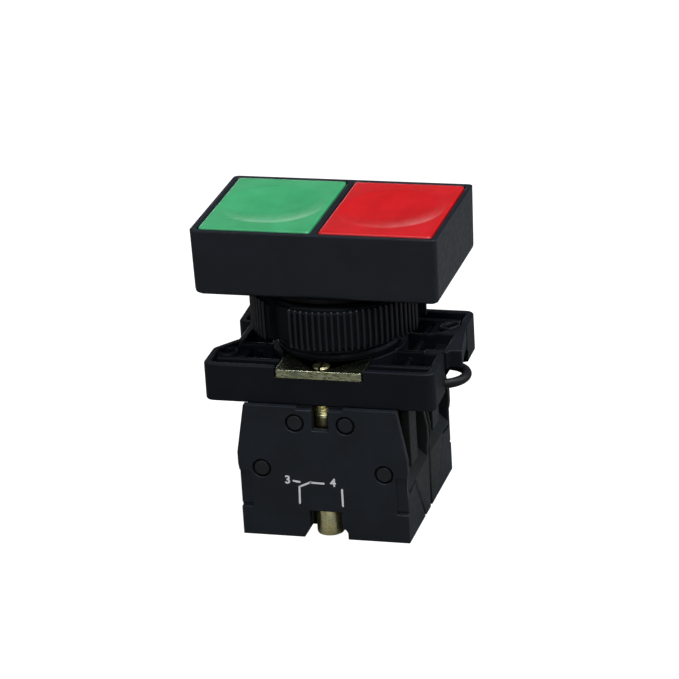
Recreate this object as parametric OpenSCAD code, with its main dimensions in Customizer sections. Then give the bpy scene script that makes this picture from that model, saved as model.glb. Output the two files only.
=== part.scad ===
// Flush double push button head for a 22 mm panel hole, with its ring nut,
// locking collar and two stacked contact blocks.
// Millimetres. Origin: centre of the panel hole, on the underside of the bezel.
// +Z points out of the panel towards the operator, +X along the bezel.

/* [Bezel] */
// Length of the bezel along X
bezel_w = 43.2; // [41:0.1:48]
// Depth of the bezel along Y
bezel_d = 27.8; // [26:0.1:31]
// Height of the bezel above the panel
bezel_h = 11.7; // [11.2:0.1:15]
// Thickness of the bezel's outer wall
bezel_wall = 1; // [0.9:0.1:1.8]
// How much each side leans in from the rim down to the panel
bezel_draft = 0.2; // [0:0.05:0.4]
// Radius of the bezel's four upright corners
bezel_corner_r = 0.9; // [0.4:0.1:1.4]
// Thickness of the wall between the two buttons
divider_w = 1.1; // [0.8:0.1:2]

/* [Buttons] */
// Gap between a button and the wall around it
button_gap = 0.25; // [0.15:0.05:0.4]
// How far the button tops stand above the rim
button_rise = 0.15; // [0:0.05:0.4]
// Wall thickness of a button cap
cap_wall = 1.2; // [1:0.1:1.5]
// Length of a button cap's skirt
cap_skirt_h = 5.6; // [4.5:0.1:6]
// Diameter of the finger dish in a button
dish_d = 18.2; // [14:0.1:18.6]
// Depth of the finger dish
dish_depth = 0.9; // [0.4:0.1:1.1]
// Radius that rolls the edge of the dish over
dish_edge_r = 1.2; // [0.6:0.1:2]
// Travel of a button from rest to its stop
press_travel = 3.4; // [2:0.1:3.4]

/* [Pushers] */
// Diameter of a pusher's rod
rod_d = 3; // [2.4:0.1:3.2]
// Distance of the rods from the middle along X
rod_x = 3.6; // [3.4:0.1:3.7]
// Distance of the rods from the middle along Y
rod_y = 4.6; // [4.2:0.1:4.8]
// Thickness of a pusher's arm under the cap
arm_t = 2.3; // [1.8:0.1:2.4]
// Thickness of a pusher's foot
foot_t = 2; // [1.5:0.1:2.2]

/* [Neck and ring nut] */
// Outside diameter of the threaded neck
neck_d = 21.8; // [21.4:0.1:22]
// Bore of the neck
neck_bore_d = 18.4; // [18:0.1:18.6]
// Length of the threaded part of the neck
neck_thread_l = 12; // [11.6:0.1:12.2]
// Diameter of the plain tail below the thread
tail_d = 20.8; // [20.6:0.1:21]
// Thickness of the base plate inside the bezel
base_plate_t = 2; // [1.6:0.1:2.2]
// Thickness of the web that guides the rods
web_t = 1.6; // [1.2:0.1:2]
// How far the gasket stays inside the bezel's front and rear edges
gasket_inset = 0.2; // [0.1:0.05:0.6]
// Thickness of the panel gasket
gasket_t = 1; // [0.6:0.1:1]
// Diameter of the ring nut over its ribs
nut_d = 30.6; // [29.6:0.1:31]
// Height of the ring nut
nut_h = 7.2; // [6:0.1:8]
// Depth of the ring nut's top below the bezel
nut_drop = 1.65; // [1.2:0.05:2]
// Number of ribs round the ring nut
nut_ribs = 87; // [60:1:96]
// Height of a rib
nut_rib_h = 0.45; // [0.3:0.05:0.6]
// Number of wrench recesses in the ring nut
nut_recesses = 3; // [2:1:4]
// Angle that one wrench recess spans
nut_recess_angle = 17.5; // [10:0.5:20]
// Depth of a wrench recess
nut_recess_depth = 1.6; // [1:0.1:2]
// Place of the first wrench recess, in degrees from +X
nut_recess_start = 2; // [0:1:30]

/* [Locking collar] */
// Length of the collar over its lobes along X
collar_w = 41.4; // [41:0.1:43]
// Depth of the collar along Y
collar_d = 29.6; // [29.5:0.1:31]
// Height of the collar
collar_h = 6.85; // [6.8:0.05:7.6]
// Depth of the collar's rim below the bezel
collar_drop = 12.3; // [12.3:0.1:12.6]
// Thickness of the collar's outer wall
collar_wall = 1.3; // [1:0.1:1.6]
// Rounding of the collar's upright corners
collar_corner_r = 1.6; // [0.8:0.1:1.8]
// Thickness of the ribs inside the collar
collar_rib_t = 1; // [0.8:0.1:1.2]
// Thickness of the collar's floor
collar_floor_t = 1.4; // [1.2:0.1:1.6]
// Depth of the space under the floor that holds the latch
latch_space_h = 1.95; // [1.9:0.05:2.2]
// Height of the guard over the lever's loop
guard_h = 3.3; // [2.8:0.1:3.4]
// Reach of the guard from the neck axis along X
guard_x = 22.5; // [21.8:0.1:22.6]
// Diameter of the two corner holes
corner_hole_d = 2.3; // [2:0.1:2.6]
// Distance of the corner holes from the middle along X
corner_hole_x = 18.05; // [17.9:0.05:18.2]
// Distance of the corner holes from the middle along Y
corner_hole_y = 7.9; // [7.6:0.1:8.2]
// Length of the nut plate along X
plate_w = 15.3; // [13:0.1:16]
// Depth of the nut plate along Y, with the part that the tail's arc takes away
plate_d = 8; // [6:0.1:9]
// Thickness of the nut plate
plate_t = 1.55; // [1.4:0.05:1.7]

/* [Lock lever] */
// Thickness of the lever's rod and loop
lever_rod_d = 1.7; // [1.4:0.1:1.8]
// Radius of the loop's bend to the middle of the rod
lever_loop_r = 4.2; // [3.6:0.1:4.3]
// Distance of the loop's bend centre from the neck axis
lever_loop_x = 18.3; // [18.1:0.1:19]
// Place of the loop's middle along Y
lever_loop_y = -0.95; // [-1.1:0.05:-0.7]
// Swing of the lever from locked to open, in degrees
lever_swing = 12; // [10:1:13]

/* [Contact blocks] */
// Width of a contact block at its foot
block_w = 29.9; // [29.5:0.1:30.5]
// Width of a contact block over its shoulders
shoulder_w = 30.3; // [29.9:0.1:31]
// Width of a contact block at its top
block_top_w = 27.1; // [26.5:0.1:28]
// Height of a contact block
block_h = 24.5; // [24.5:0.1:26]
// Thickness of a contact block with its cover
block_t = 15.7; // [15.7:0.1:16.5]
// Gap between the two blocks
block_gap = 0.2; // [0.1:0.05:0.4]
// Thickness of a block's cover
cover_t = 1.3; // [1.1:0.1:1.4]
// Thickness of a block's back wall
back_wall_t = 1.2; // [1:0.1:1.4]
// Half width of the block's closed core
core_half_w = 9; // [8.8:0.1:9.2]
// Wall between the core's chamber and the terminals
core_wall = 1; // [0.8:0.1:1.2]
// Diameter of a staked pin
stake_d = 2.65; // [2:0.05:3]
// Thickness of the cover's side cheeks
cheek_t = 1; // [0.6:0.1:1.1]

/* [Screws and contacts] */
// Thread diameter of the fixing screws
fix_screw_d = 3.5; // [3:0.1:3.5]
// Head diameter of the fixing screws
fix_head_d = 4.8; // [4.4:0.1:5]
// Head height of the fixing screws
fix_head_h = 5.4; // [4.5:0.1:6]
// Distance of the fixing screws from the middle along Y
fix_screw_y = 12.6; // [12.5:0.05:12.65]
// Thread diameter of the terminal screws
term_screw_d = 3; // [2.5:0.1:3]
// Head diameter of the terminal screws
term_head_d = 4.8; // [4.2:0.1:5]
// Thickness of the contact strips and bridges
strip_t = 0.8; // [0.6:0.1:0.9]
// Opening between the contacts when they are apart
contact_gap = 1.75; // [1.5:0.05:1.9]
// Diameter of a contact rivet
rivet_d = 2; // [1.6:0.1:2.2]

/* [Springs] */
// Radius of a button's return spring to the middle of its wire
head_spring_r = 2.25; // [2.1:0.05:2.3]
// Wire of a button's return spring
head_spring_wire = 0.6; // [0.4:0.05:0.7]
// Turns of a button's return spring
head_spring_turns = 9; // [6:1:11]
// Radius of the springs round the plungers' thin ends
thin_spring_r = 1.65; // [1.6:0.05:1.7]
// Radius of the spring that loads the normally open bridge
load_spring_r = 2; // [1.8:0.05:2.4]
// Wire of the springs in the contact blocks
block_spring_wire = 0.5; // [0.3:0.05:0.5]
// Wire of the spring that loads the normally closed bridge
nc_spring_wire = 0.4; // [0.3:0.05:0.4]
// Turns of a spring in a contact block
block_spring_turns = 4; // [3:1:5]

/* [Hidden] */
$fn = 64;

// Clearances
slide_gap = 0.1;
part_gap = 0.15;
seat_gap = 0.05;
stop_gap = 0.3;
cut = 0.5;
arc_steps = 6;
// Reach of cutting shapes beyond every wall
far = 40;

// Heights measured from the panel plane
cap_top_z = bezel_h + button_rise;
skirt_bottom_z = cap_top_z - cap_skirt_h;
cap_skin_t = dish_depth + cap_wall;
cap_inner_z = cap_top_z - cap_skin_t;
arm_top_z = cap_inner_z - stop_gap;
arm_bottom_z = arm_top_z - arm_t;
nut_top_z = -nut_drop;
collar_top_z = -collar_drop;
collar_bottom_z = collar_top_z - collar_h;
floor_bottom_z = collar_bottom_z + latch_space_h;
floor_top_z = floor_bottom_z + collar_floor_t;
tail_end_z = collar_bottom_z + part_gap;
block_top_z = collar_bottom_z;
block_bottom_z = block_top_z - block_h;
web_top_z = -neck_thread_l + 1;
web_bottom_z = web_top_z - web_t;
foot_top_z = web_bottom_z - stop_gap;
foot_bottom_z = foot_top_z - foot_t;

// Plan sizes of the head
inner_w = bezel_w - 2 * bezel_wall;
inner_d = bezel_d - 2 * bezel_wall;
well_w = (inner_w - divider_w) / 2;
well_x = (divider_w + well_w) / 2;
cap_w = well_w - 2 * button_gap;
cap_d = inner_d - 2 * button_gap;
cap_corner_r = 0.5;
peg_r = 1.5;
peg_y = [-rod_y, 3.2];
neck_r = neck_d / 2;
neck_bore_r = neck_bore_d / 2;
tail_r = tail_d / 2;
gasket_r = bezel_d / 2 - gasket_inset;

// Collar
notch_half_w = 17.5;
lobe_back_y = 3.9;
plate_top_z = collar_top_z - 0.35;
pad_top_z = plate_top_z - plate_t - seat_gap;
plate_front_y = collar_d / 2 + 0.2;
plate_arc_r = tail_r + slide_gap;
collar_bore_r = tail_r + slide_gap;
upstand_r = collar_bore_r + 1.3;
corner_boss_r = 2.05;
guard_floor_t = 1.2;
guard_pocket_x = guard_x - 3;

// Lock lever
latch_t = 1.5;
latch_top_z = floor_bottom_z - part_gap;
latch_bottom_z = latch_top_z - latch_t;
latch_in_r = tail_r + part_gap;
latch_out_r = latch_in_r + 2.7;
latch_half_angle = 60;
lug_angles = [-45, 0, 45];
lug_half_angle = lever_swing / 2 - 1.2;
lug_t = 0.7;
lug_in_r = tail_r - 0.45;
groove_r = lug_in_r - part_gap;
slot_r = groove_r + 0.04;
groove_top_z = latch_top_z + 0.1;
groove_bottom_z = latch_top_z - lug_t - 0.1;
slot_half_angle = lever_swing / 2 + 0.2;
lever_z = collar_bottom_z + stop_gap + lever_rod_d / 2;
lever_plate_x = notch_half_w - 0.2;

// Contact block, in a frame with its foot at Z = 0 and its back at Y = 0
back_y = -block_gap / 2;
face_y = back_y - block_t;
cover_back_y = face_y + cover_t;
bay_back_y = back_y - back_wall_t;
mid_y = (cover_back_y + bay_back_y) / 2;
shoulder_z = 15.5;
shoulder_low_z = 13.4;
step_z = 12;
ledge_x = 12.9;
ledge_low_z = 9.9;
ledge_high_z = 12;
bay_floor_z = 14.4;
post_x = 13;
post_w = 4.6;
post_t = 1.4;
bridge_rib_z = 22.9;
chamber_half_w = core_half_w - core_wall;
chamber_front_y = -9.9;
chamber_floor_z = 1.8;
chamber_top_z = 21.8;
plunger_y = -5.6;
plunger_r = 1.9;
plunger_thin_r = 1.2;
plunger_flange_r = 3.1;
plunger_top_z = foot_bottom_z - stop_gap - block_bottom_z;
flange_z = 19;
flange_t = 1.4;
term_x = 11;
term_head_h = 2;
term_head_top_z = bay_floor_z;
clamp_z = bay_floor_z + 0.2;
clamp_t = 1;
strip_z = 18.2;
strip_half_y = 5.7;
strip_neck_w = 4.6;
leg_x = 6.8;
tip_in_x = 3.6;
tip_w = 3.6;
rivet_x = 4.7;
rivet_h = 0.45;
bridge_half_w = 5.6;
bridge_d = 4;
fix_channel_r = fix_screw_d / 2 + slide_gap;
fix_shank_r = 1.4;
fix_head_z = 0.3;
window_w = 3;
window_z = 20.2;
stakes = [[4.5, 21.5], [10.9, 12.7]];
groove_w = 0.35;

// Normally open contacts close at the foot of the travel
no_tip_z = 9.2;
no_rest_z = no_tip_z + strip_t + 2 * rivet_h + contact_gap;
no_bottom_flange_z = no_rest_z - 1.15;
// Normally closed contacts open as the plunger goes down
nc_tip_z = 14.6;
nc_rest_z = nc_tip_z - 2 * rivet_h - seat_gap - strip_t;
nc_top_flange_z = nc_rest_z + strip_t + contact_gap + seat_gap;
nc_bottom_flange_z = nc_rest_z - 3.4;

// A polygon's corners moved inwards by d, for convex outlines that turn left
function unit(v) = v / norm(v);
function left_of(v) = [-v[1], v[0]];
function inset(pts, d) = [
    for (i = [0 : len(pts) - 1])
        let (
            p = pts[i],
            a = unit(p - pts[(i + len(pts) - 1) % len(pts)]),
            b = unit(pts[(i + 1) % len(pts)] - p),
            n = left_of(a),
            m = left_of(b)
        )
        p + (n + m) * d / (1 + n * m)
];

// Points of an outline whose corners are rounded with the radius r
function round_corners(pts, r, steps = arc_steps) = [
    for (i = [0 : len(pts) - 1])
        let (
            p = pts[i],
            a = unit(pts[(i + len(pts) - 1) % len(pts)] - p),
            b = unit(pts[(i + 1) % len(pts)] - p),
            half = acos(a * b) / 2,
            reach = r / tan(half),
            from = p + a * reach,
            to = p + b * reach,
            mid = p + unit(a + b) * r / sin(half),
            start = atan2(from[1] - mid[1], from[0] - mid[0]),
            end = atan2(to[1] - mid[1], to[0] - mid[0]),
            sweep = (end - start + 540) % 360 - 180
        )
        for (k = [0 : steps])
            mid + r * [cos(start + sweep * k / steps), sin(start + sweep * k / steps)]
];

function box_points(w, d) = [
    [-w / 2, -d / 2], [w / 2, -d / 2], [w / 2, d / 2], [-w / 2, d / 2]
];

// Corner points of a sector that starts at the origin
function sector(r, from, to, steps = 12) = concat(
    [[0, 0]],
    [for (k = [0 : steps]) r * [cos(from + (to - from) * k / steps), sin(from + (to - from) * k / steps)]]
);

module rounded_box(w, d, h, r) {
    linear_extrude(h) polygon(round_corners(box_points(w, d), r));
}

module tube(r_out, r_in, h) {
    difference() {
        cylinder(r = r_out, h = h);
        translate([0, 0, -cut]) cylinder(r = r_in, h = h + 2 * cut);
    }
}

// A shape drawn as [x, z] and extruded along Y from y0 to y1
module upright(y0, y1) {
    translate([0, y1, 0]) rotate([90, 0, 0]) linear_extrude(y1 - y0) children();
}

module mirrored_x() {
    children();
    mirror([1, 0, 0]) children();
}

// The second block and its fittings are the first ones turned half way round
module at_rear() {
    rotate([0, 0, 180]) children();
}

module on_block() {
    translate([0, 0, block_bottom_z]) children();
}

// Height along a coil whose first and last parts close up flat
function coil_rise(t, e = 0.14) =
    t < e ? t * t / (2 * e * (1 - e))
    : t > 1 - e ? 1 - (1 - t) * (1 - t) / (2 * e * (1 - e))
    : (t - e / 2) / (1 - e);

// Compression spring with its wire swept along a helix
module coil_spring(r, wire, length, turns, steps = 14, sides = 6) {
    n = round(turns * steps);
    rise = length - wire;
    points = [
        for (i = [0 : n])
            for (k = [0 : sides - 1])
                let (
                    a = 360 * turns * i / n,
                    b = 360 * k / sides,
                    rr = r + wire / 2 * cos(b),
                    z = wire / 2 + rise * coil_rise(i / n) + wire / 2 * sin(b)
                )
                [rr * cos(a), rr * sin(a), z]
    ];
    walls = [
        for (i = [0 : n - 1])
            for (k = [0 : sides - 1])
                let (
                    a = i * sides + k,
                    b = i * sides + (k + 1) % sides
                )
                [a, b, b + sides, a + sides]
    ];
    first = [[for (k = [sides - 1 : -1 : 0]) k]];
    last = [[for (k = [0 : sides - 1]) n * sides + k]];
    polyhedron(points, concat(first, walls, last), convexity = 8);
}

// Head

// Outer form of the bezel: sides that lean in, with a softened foot and rim
module bezel_form() {
    low = bezel_draft;
    soft = 0.5;
    hull() {
        for (level = [
            [0, low + soft],
            [soft * 0.35, low + soft * 0.3],
            [soft, low],
            [bezel_h - 0.2, 0],
            [bezel_h, 0.15]
        ])
            translate([0, 0, level[0]])
                linear_extrude(0.01)
                    polygon(round_corners(inset(box_points(bezel_w, bezel_d), level[1]), bezel_corner_r));
    }
}

module bezel() {
    color([0.10, 0.11, 0.13]) {
        difference() {
            bezel_form();
            for (side = [-1, 1])
                translate([side * well_x, 0, base_plate_t + seat_gap])
                    rounded_box(well_w, inner_d, bezel_h, cap_corner_r + button_gap);
            translate([0, 0, -cut])
                rounded_box(inner_w, inner_d, cut + base_plate_t + seat_gap, cap_corner_r + button_gap);
        }
    }
}

module operator_body() {
    color([0.08, 0.08, 0.09]) {
        difference() {
            union() {
                rounded_box(inner_w - 2 * part_gap, inner_d - 2 * part_gap, base_plate_t, cap_corner_r);
                translate([0, 0, -neck_thread_l]) cylinder(r = neck_r, h = neck_thread_l + seat_gap);
                translate([0, 0, tail_end_z])
                    cylinder(r = tail_r, h = -neck_thread_l - tail_end_z + seat_gap);
            }
            translate([0, 0, web_top_z]) cylinder(r = neck_bore_r, h = cut + base_plate_t - web_top_z);
            translate([0, 0, tail_end_z - cut])
                cylinder(r = neck_bore_r, h = web_bottom_z - tail_end_z + cut);
            for (side = [-1, 1])
                translate([side * rod_x, side * rod_y, web_bottom_z - cut])
                    cylinder(r = rod_d / 2 + slide_gap, h = web_t + 2 * cut);
            translate([0, 0, groove_bottom_z]) tube(tail_r + cut, groove_r, groove_top_z - groove_bottom_z);
            bayonet_slots();
        }
    }
}

// Slots in the tail's lip that let the latch's lugs pass when the lever is open
module bayonet_slots() {
    for (a = lug_angles)
        rotate([0, 0, a + lever_swing])
            difference() {
                translate([0, 0, tail_end_z - cut])
                    linear_extrude(groove_bottom_z - tail_end_z + 2 * cut)
                        polygon(sector(tail_r + cut, -slot_half_angle, slot_half_angle));
                translate([0, 0, tail_end_z - 2 * cut])
                    cylinder(r = slot_r, h = groove_bottom_z - tail_end_z + 4 * cut);
            }
}

module panel_gasket() {
    color([0.05, 0.05, 0.05])
        translate([0, 0, -gasket_t]) tube(gasket_r, neck_r + slide_gap, gasket_t);
}

// Rim of the dish in section: a shallow bowl that rolls over into the flat top
function dish_profile(r, depth, edge, steps = 8) =
    let (
        bowl_r = (r * r + depth * depth) / (2 * depth),
        edge_angle = asin(r / bowl_r),
        join_r = r - edge * sin(edge_angle) / 2,
        join_z = bowl_r - sqrt(bowl_r * bowl_r - join_r * join_r) - depth,
        out_r = r + edge * sin(edge_angle) / 2
    )
    concat(
        [[0, 1]],
        [for (k = [0 : steps])
            let (x = join_r * k / steps)
            [x, bowl_r - sqrt(bowl_r * bowl_r - x * x) - depth]],
        [for (k = [1 : 4])
            let (t = k / 4, x = join_r + (out_r - join_r) * t)
            [x, join_z * (1 - t) * (1 - t)]],
        [[out_r, 1]]
    );

module cap(tint) {
    color(tint)
        difference() {
            union() {
                difference() {
                    cap_form();
                    translate([0, 0, skirt_bottom_z - cut])
                        rounded_box(cap_w - 2 * cap_wall, cap_d - 2 * cap_wall,
                            cap_inner_z - skirt_bottom_z + cut, cap_corner_r);
                }
                for (y = peg_y)
                    translate([0, y, arm_bottom_z + stop_gap])
                        cylinder(r = peg_r, h = cap_inner_z - arm_bottom_z);
            }
            translate([well_x - rod_x, -rod_y, skirt_bottom_z - cut])
                cylinder(r = head_spring_r + 0.5, h = arm_bottom_z - skirt_bottom_z + cut + slide_gap);
            translate([0, 0, cap_top_z])
                rotate_extrude() polygon(dish_profile(dish_d / 2, dish_depth, dish_edge_r));
        }
}

module cap_form() {
    soft = 0.25;
    hull() {
        translate([0, 0, skirt_bottom_z]) rounded_box(cap_w, cap_d, cap_skirt_h - soft, cap_corner_r);
        translate([0, 0, skirt_bottom_z])
            rounded_box(cap_w - 2 * soft, cap_d - 2 * soft, cap_skirt_h, cap_corner_r);
    }
}

// Arm, guide rod and foot that carry a button's travel down through the neck
module pusher(tint) {
    hub_w = 7;
    arm_front = rod_y + 2.6;
    arm_back = peg_y[1] + 2.2;
    arm_left = well_x + hub_w / 2;
    color(tint)
        difference() {
            union() {
                translate([-arm_left, -arm_front, arm_bottom_z])
                    cube([arm_left - rod_x + rod_d / 2, arm_front - 1.6, arm_t]);
                translate([-arm_left, -arm_front, arm_bottom_z]) cube([hub_w, arm_front + arm_back, arm_t]);
                translate([-rod_x, -rod_y, foot_bottom_z])
                    cylinder(d = rod_d, h = arm_top_z - foot_bottom_z);
                translate([-rod_x - rod_d / 2, plunger_y - plunger_r, foot_bottom_z])
                    cube([
                        rod_x + rod_d / 2 + plunger_r,
                        -rod_y + rod_d / 2 - plunger_y + plunger_r,
                        foot_t
                    ]);
            }
            for (y = peg_y)
                translate([-well_x, y, arm_bottom_z - cut])
                    cylinder(r = peg_r + slide_gap, h = arm_t + 2 * cut);
        }
}

module head_spring() {
    color([0.72, 0.72, 0.74])
        translate([-rod_x, -rod_y, web_top_z + seat_gap])
            coil_spring(
                head_spring_r, head_spring_wire,
                arm_bottom_z - web_top_z - 2 * seat_gap, head_spring_turns
            );
}

// Ribbed ring nut: every rib is one tooth of the outline
module ring_nut() {
    pitch = 360 / nut_ribs;
    r = nut_d / 2;
    root = r - nut_rib_h;
    outline = [
        for (i = [0 : nut_ribs - 1])
            for (step = [[0, root], [0.3, r], [0.62, r], [0.92, root]])
                step[1] * [cos(pitch * (i + step[0])), sin(pitch * (i + step[0]))]
    ];
    chamfer = 0.4;
    color([0.09, 0.10, 0.11])
        difference() {
            intersection() {
                translate([0, 0, nut_top_z - nut_h]) linear_extrude(nut_h) polygon(outline);
                translate([0, 0, nut_top_z - nut_h])
                    rotate_extrude()
                        polygon([
                            [0, 0], [r - chamfer, 0], [r, chamfer],
                            [r, nut_h - chamfer], [r - chamfer, nut_h], [0, nut_h]
                        ]);
            }
            translate([0, 0, nut_top_z - nut_h - cut]) cylinder(r = neck_r + seat_gap, h = nut_h + 2 * cut);
            for (i = [0 : nut_recesses - 1])
                rotate([0, 0, nut_recess_start + 360 * i / nut_recesses])
                    translate([0, 0, nut_top_z - nut_h - cut])
                        difference() {
                            linear_extrude(nut_h + 2 * cut)
                                polygon(sector(r + 2, -nut_recess_angle / 2, nut_recess_angle / 2, 3));
                            translate([0, 0, -cut]) cylinder(r = r - nut_recess_depth, h = nut_h + 4 * cut);
                        }
        }
}

// Collar

// Outlines of the collar's middle and of its two kinds of lobe, turning left
function collar_middle() = box_points(2 * notch_half_w, collar_d);
function holed_lobe() = [
    [-collar_w / 2, -collar_d / 2],
    [-collar_w / 2 + 8, -collar_d / 2],
    [-collar_w / 2 + 8, -lobe_back_y + 1],
    [-notch_half_w, -lobe_back_y + 1],
    [-collar_w / 2 - 0.1, -corner_hole_y + 0.4]
];
function plain_lobe() = [
    [collar_w / 2 - 8, -collar_d / 2],
    [collar_w / 2 - 0.4, -collar_d / 2],
    [collar_w / 2 - 0.8, -lobe_back_y - 0.5],
    [collar_w / 2 - 8, -lobe_back_y - 0.5]
];

// Outline of the guard that bridges the right notch above the loop
function guard_points() = [
    [notch_half_w - 1, -lobe_back_y - 0.5],
    [collar_w / 2 - 0.6, -lobe_back_y - 0.5],
    [collar_w / 2 - 0.3, -lobe_back_y + 0.3],
    [guard_x, -lobe_back_y + 0.5],
    [collar_w / 2 + 0.05, corner_hole_y - 0.6],
    [collar_w / 2 - 0.6, corner_hole_y],
    [notch_half_w - 1, lobe_back_y - 0.7]
];

module collar_plan(d, r) {
    polygon(round_corners(inset(collar_middle(), d), r));
    for (turn = [0, 180])
        rotate([0, 0, turn]) {
            polygon(round_corners(inset(holed_lobe(), d), r));
            polygon(round_corners(inset(plain_lobe(), d), r));
        }
}

// What stands inside the collar's wall: ribs, the upstand and the corner bosses
module collar_ribs() {
    rib_y = [corner_hole_y + 2.8, lobe_back_y];
    for (y = rib_y)
        for (side = [-1, 1])
            translate([-collar_w / 2 + 1.6, side * y - collar_rib_t / 2, floor_bottom_z])
                cube([collar_w - 3.2, collar_rib_t, collar_top_z - 0.3 - floor_bottom_z]);
    for (side = [-1, 1])
        translate([side * (upstand_r + 1.6) - collar_rib_t / 2, -collar_d / 2 + 0.5, floor_bottom_z])
            cube([collar_rib_t, collar_d - 1, collar_top_z - 1.6 - floor_bottom_z]);
    translate([0, 0, floor_bottom_z]) cylinder(r = upstand_r, h = collar_top_z - 0.2 - floor_bottom_z);
    for (turn = [0, 180])
        rotate([0, 0, turn]) {
            translate([-corner_hole_x, -corner_hole_y, floor_bottom_z])
                cylinder(r = corner_boss_r, h = collar_top_z - 0.15 - floor_bottom_z);
            translate([-corner_hole_x - 1.6, -corner_hole_y - 2.6, floor_bottom_z])
                cube([5.2, 6, collar_top_z - 0.9 - floor_bottom_z]);
        }
}

// Solid pads under the two nut plates
module plate_pads() {
    for (side = [-1, 1])
        translate([-plate_w / 2 - 1.2, side > 0 ? tail_r - 3 : -collar_d / 2, floor_bottom_z])
            cube([plate_w + 2.4, collar_d / 2 - tail_r + 3, pad_top_z - floor_bottom_z]);
}

// Space above the pads, open through the front and rear walls
module plate_notches() {
    for (side = [-1, 1])
        translate([-plate_w / 2 - part_gap, side > 0 ? 0 : -collar_d / 2 - cut, pad_top_z])
            cube([plate_w + 2 * part_gap, collar_d / 2 + cut, collar_top_z - pad_top_z + cut]);
}

// Arc and side window in which the latch swings
module latch_space() {
    translate([0, 0, collar_bottom_z - cut])
        linear_extrude(latch_space_h + cut)
            intersection() {
                circle(r = latch_out_r + stop_gap);
                polygon(sector(far, -latch_half_angle - 2, latch_half_angle + lever_swing + 2));
            }
    reach = lever_loop_r + lever_rod_d / 2 + stop_gap;
    translate([0, 0, collar_bottom_z - cut])
        linear_extrude(latch_space_h + stop_gap + cut)
            difference() {
                for (a = [0 : lever_swing / 4 : lever_swing])
                    rotate([0, 0, a]) {
                        translate([lever_loop_x, lever_loop_y]) circle(r = reach);
                        translate([latch_in_r - 1, lever_loop_y - reach])
                            square([lever_loop_x - latch_in_r + 1, 2 * reach]);
                    }
                circle(r = latch_in_r);
            }
}

// Pocket in the guard, open to the tray
module guard_pocket() {
    floor_z = collar_top_z - guard_h + guard_floor_t;
    half_d = lobe_back_y - collar_rib_t / 2;
    translate([notch_half_w - collar_wall - 1, -half_d, floor_z])
        cube([guard_pocket_x - notch_half_w + collar_wall + 1, 2 * half_d, collar_top_z - floor_z + cut]);
}

module mounting_collar() {
    color([0.09, 0.10, 0.11])
        difference() {
            union() {
                translate([0, 0, collar_bottom_z])
                    linear_extrude(collar_h)
                        difference() {
                            collar_plan(0, collar_corner_r);
                            collar_plan(collar_wall, 0.5);
                        }
                translate([0, 0, collar_bottom_z])
                    linear_extrude(floor_top_z - collar_bottom_z) collar_plan(0.1, collar_corner_r);
                translate([0, 0, collar_top_z - guard_h])
                    linear_extrude(guard_h) polygon(round_corners(guard_points(), 0.25));
                intersection() {
                    union() {
                        collar_ribs();
                        plate_pads();
                    }
                    translate([0, 0, collar_bottom_z]) linear_extrude(collar_h) collar_plan(0.05, collar_corner_r);
                }
            }
            plate_notches();
            translate([0, 0, collar_bottom_z - cut]) cylinder(r = collar_bore_r, h = collar_h + 2 * cut);
            for (side = [-1, 1])
                translate([0, side * fix_screw_y, collar_bottom_z - cut])
                    cylinder(r = fix_channel_r, h = collar_h + 2 * cut);
            for (side = [-1, 1])
                translate([side * corner_hole_x, side * corner_hole_y, collar_bottom_z - cut])
                    cylinder(d = corner_hole_d, h = collar_h + 2 * cut);
            latch_space();
            guard_pocket();
            undercuts();
        }
}

// Hollows under the collar's lobes, as in any moulding of even wall
module undercuts() {
    depth = latch_space_h + stop_gap;
    side = corner_hole_x - latch_out_r - 1.1;
    for (turn = [0, 180])
        rotate([0, 0, turn])
            translate([-corner_hole_x - 0.4, -corner_hole_y - 1.2, collar_bottom_z - cut])
                rounded_box(side, 9, depth + cut, 0.6);
}

// Swinging latch with its loop handle
module lock_lever() {
    reach = lever_loop_r + lever_rod_d / 2;
    color([0.06, 0.06, 0.07]) {
        difference() {
            union() {
                translate([0, 0, latch_bottom_z])
                    linear_extrude(latch_t)
                        difference() {
                            union() {
                                intersection() {
                                    circle(r = latch_out_r);
                                    polygon(sector(far, -latch_half_angle, latch_half_angle));
                                }
                                translate([latch_in_r - 2, lever_loop_y - reach])
                                    square([lever_plate_x - latch_in_r + 2, 2 * reach]);
                            }
                            circle(r = latch_in_r);
                        }
                for (a = lug_angles)
                    rotate([0, 0, a])
                        translate([0, 0, latch_top_z - lug_t])
                            linear_extrude(lug_t)
                                difference() {
                                    polygon(sector(latch_in_r + 0.5, -lug_half_angle, lug_half_angle, 4));
                                    circle(r = lug_in_r);
                                }
            }
        }
        lever_loop();
    }
}

module lever_loop() {
    translate([lever_loop_x, lever_loop_y, lever_z])
        rotate([0, 0, -90])
            rotate_extrude(angle = 180) translate([lever_loop_r, 0]) circle(d = lever_rod_d);
    for (side = [-1, 1])
        translate([lever_plate_x - 1, lever_loop_y + side * lever_loop_r, lever_z])
            rotate([0, 90, 0]) cylinder(d = lever_rod_d, h = lever_loop_x - lever_plate_x + 1);
}

module nut_plate() {
    color([0.62, 0.62, 0.42])
        translate([0, 0, plate_top_z - plate_t])
            difference() {
                linear_extrude(plate_t)
                    polygon(round_corners([
                        [-plate_w / 2, -plate_front_y], [plate_w / 2, -plate_front_y],
                        [plate_w / 2, -plate_front_y + plate_d], [-plate_w / 2, -plate_front_y + plate_d]
                    ], 0.5));
                translate([0, 0, -cut]) cylinder(r = plate_arc_r, h = plate_t + 2 * cut);
                translate([0, -fix_screw_y, -cut])
                    cylinder(d = fix_screw_d + slide_gap, h = plate_t + 2 * cut);
            }
}

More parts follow.
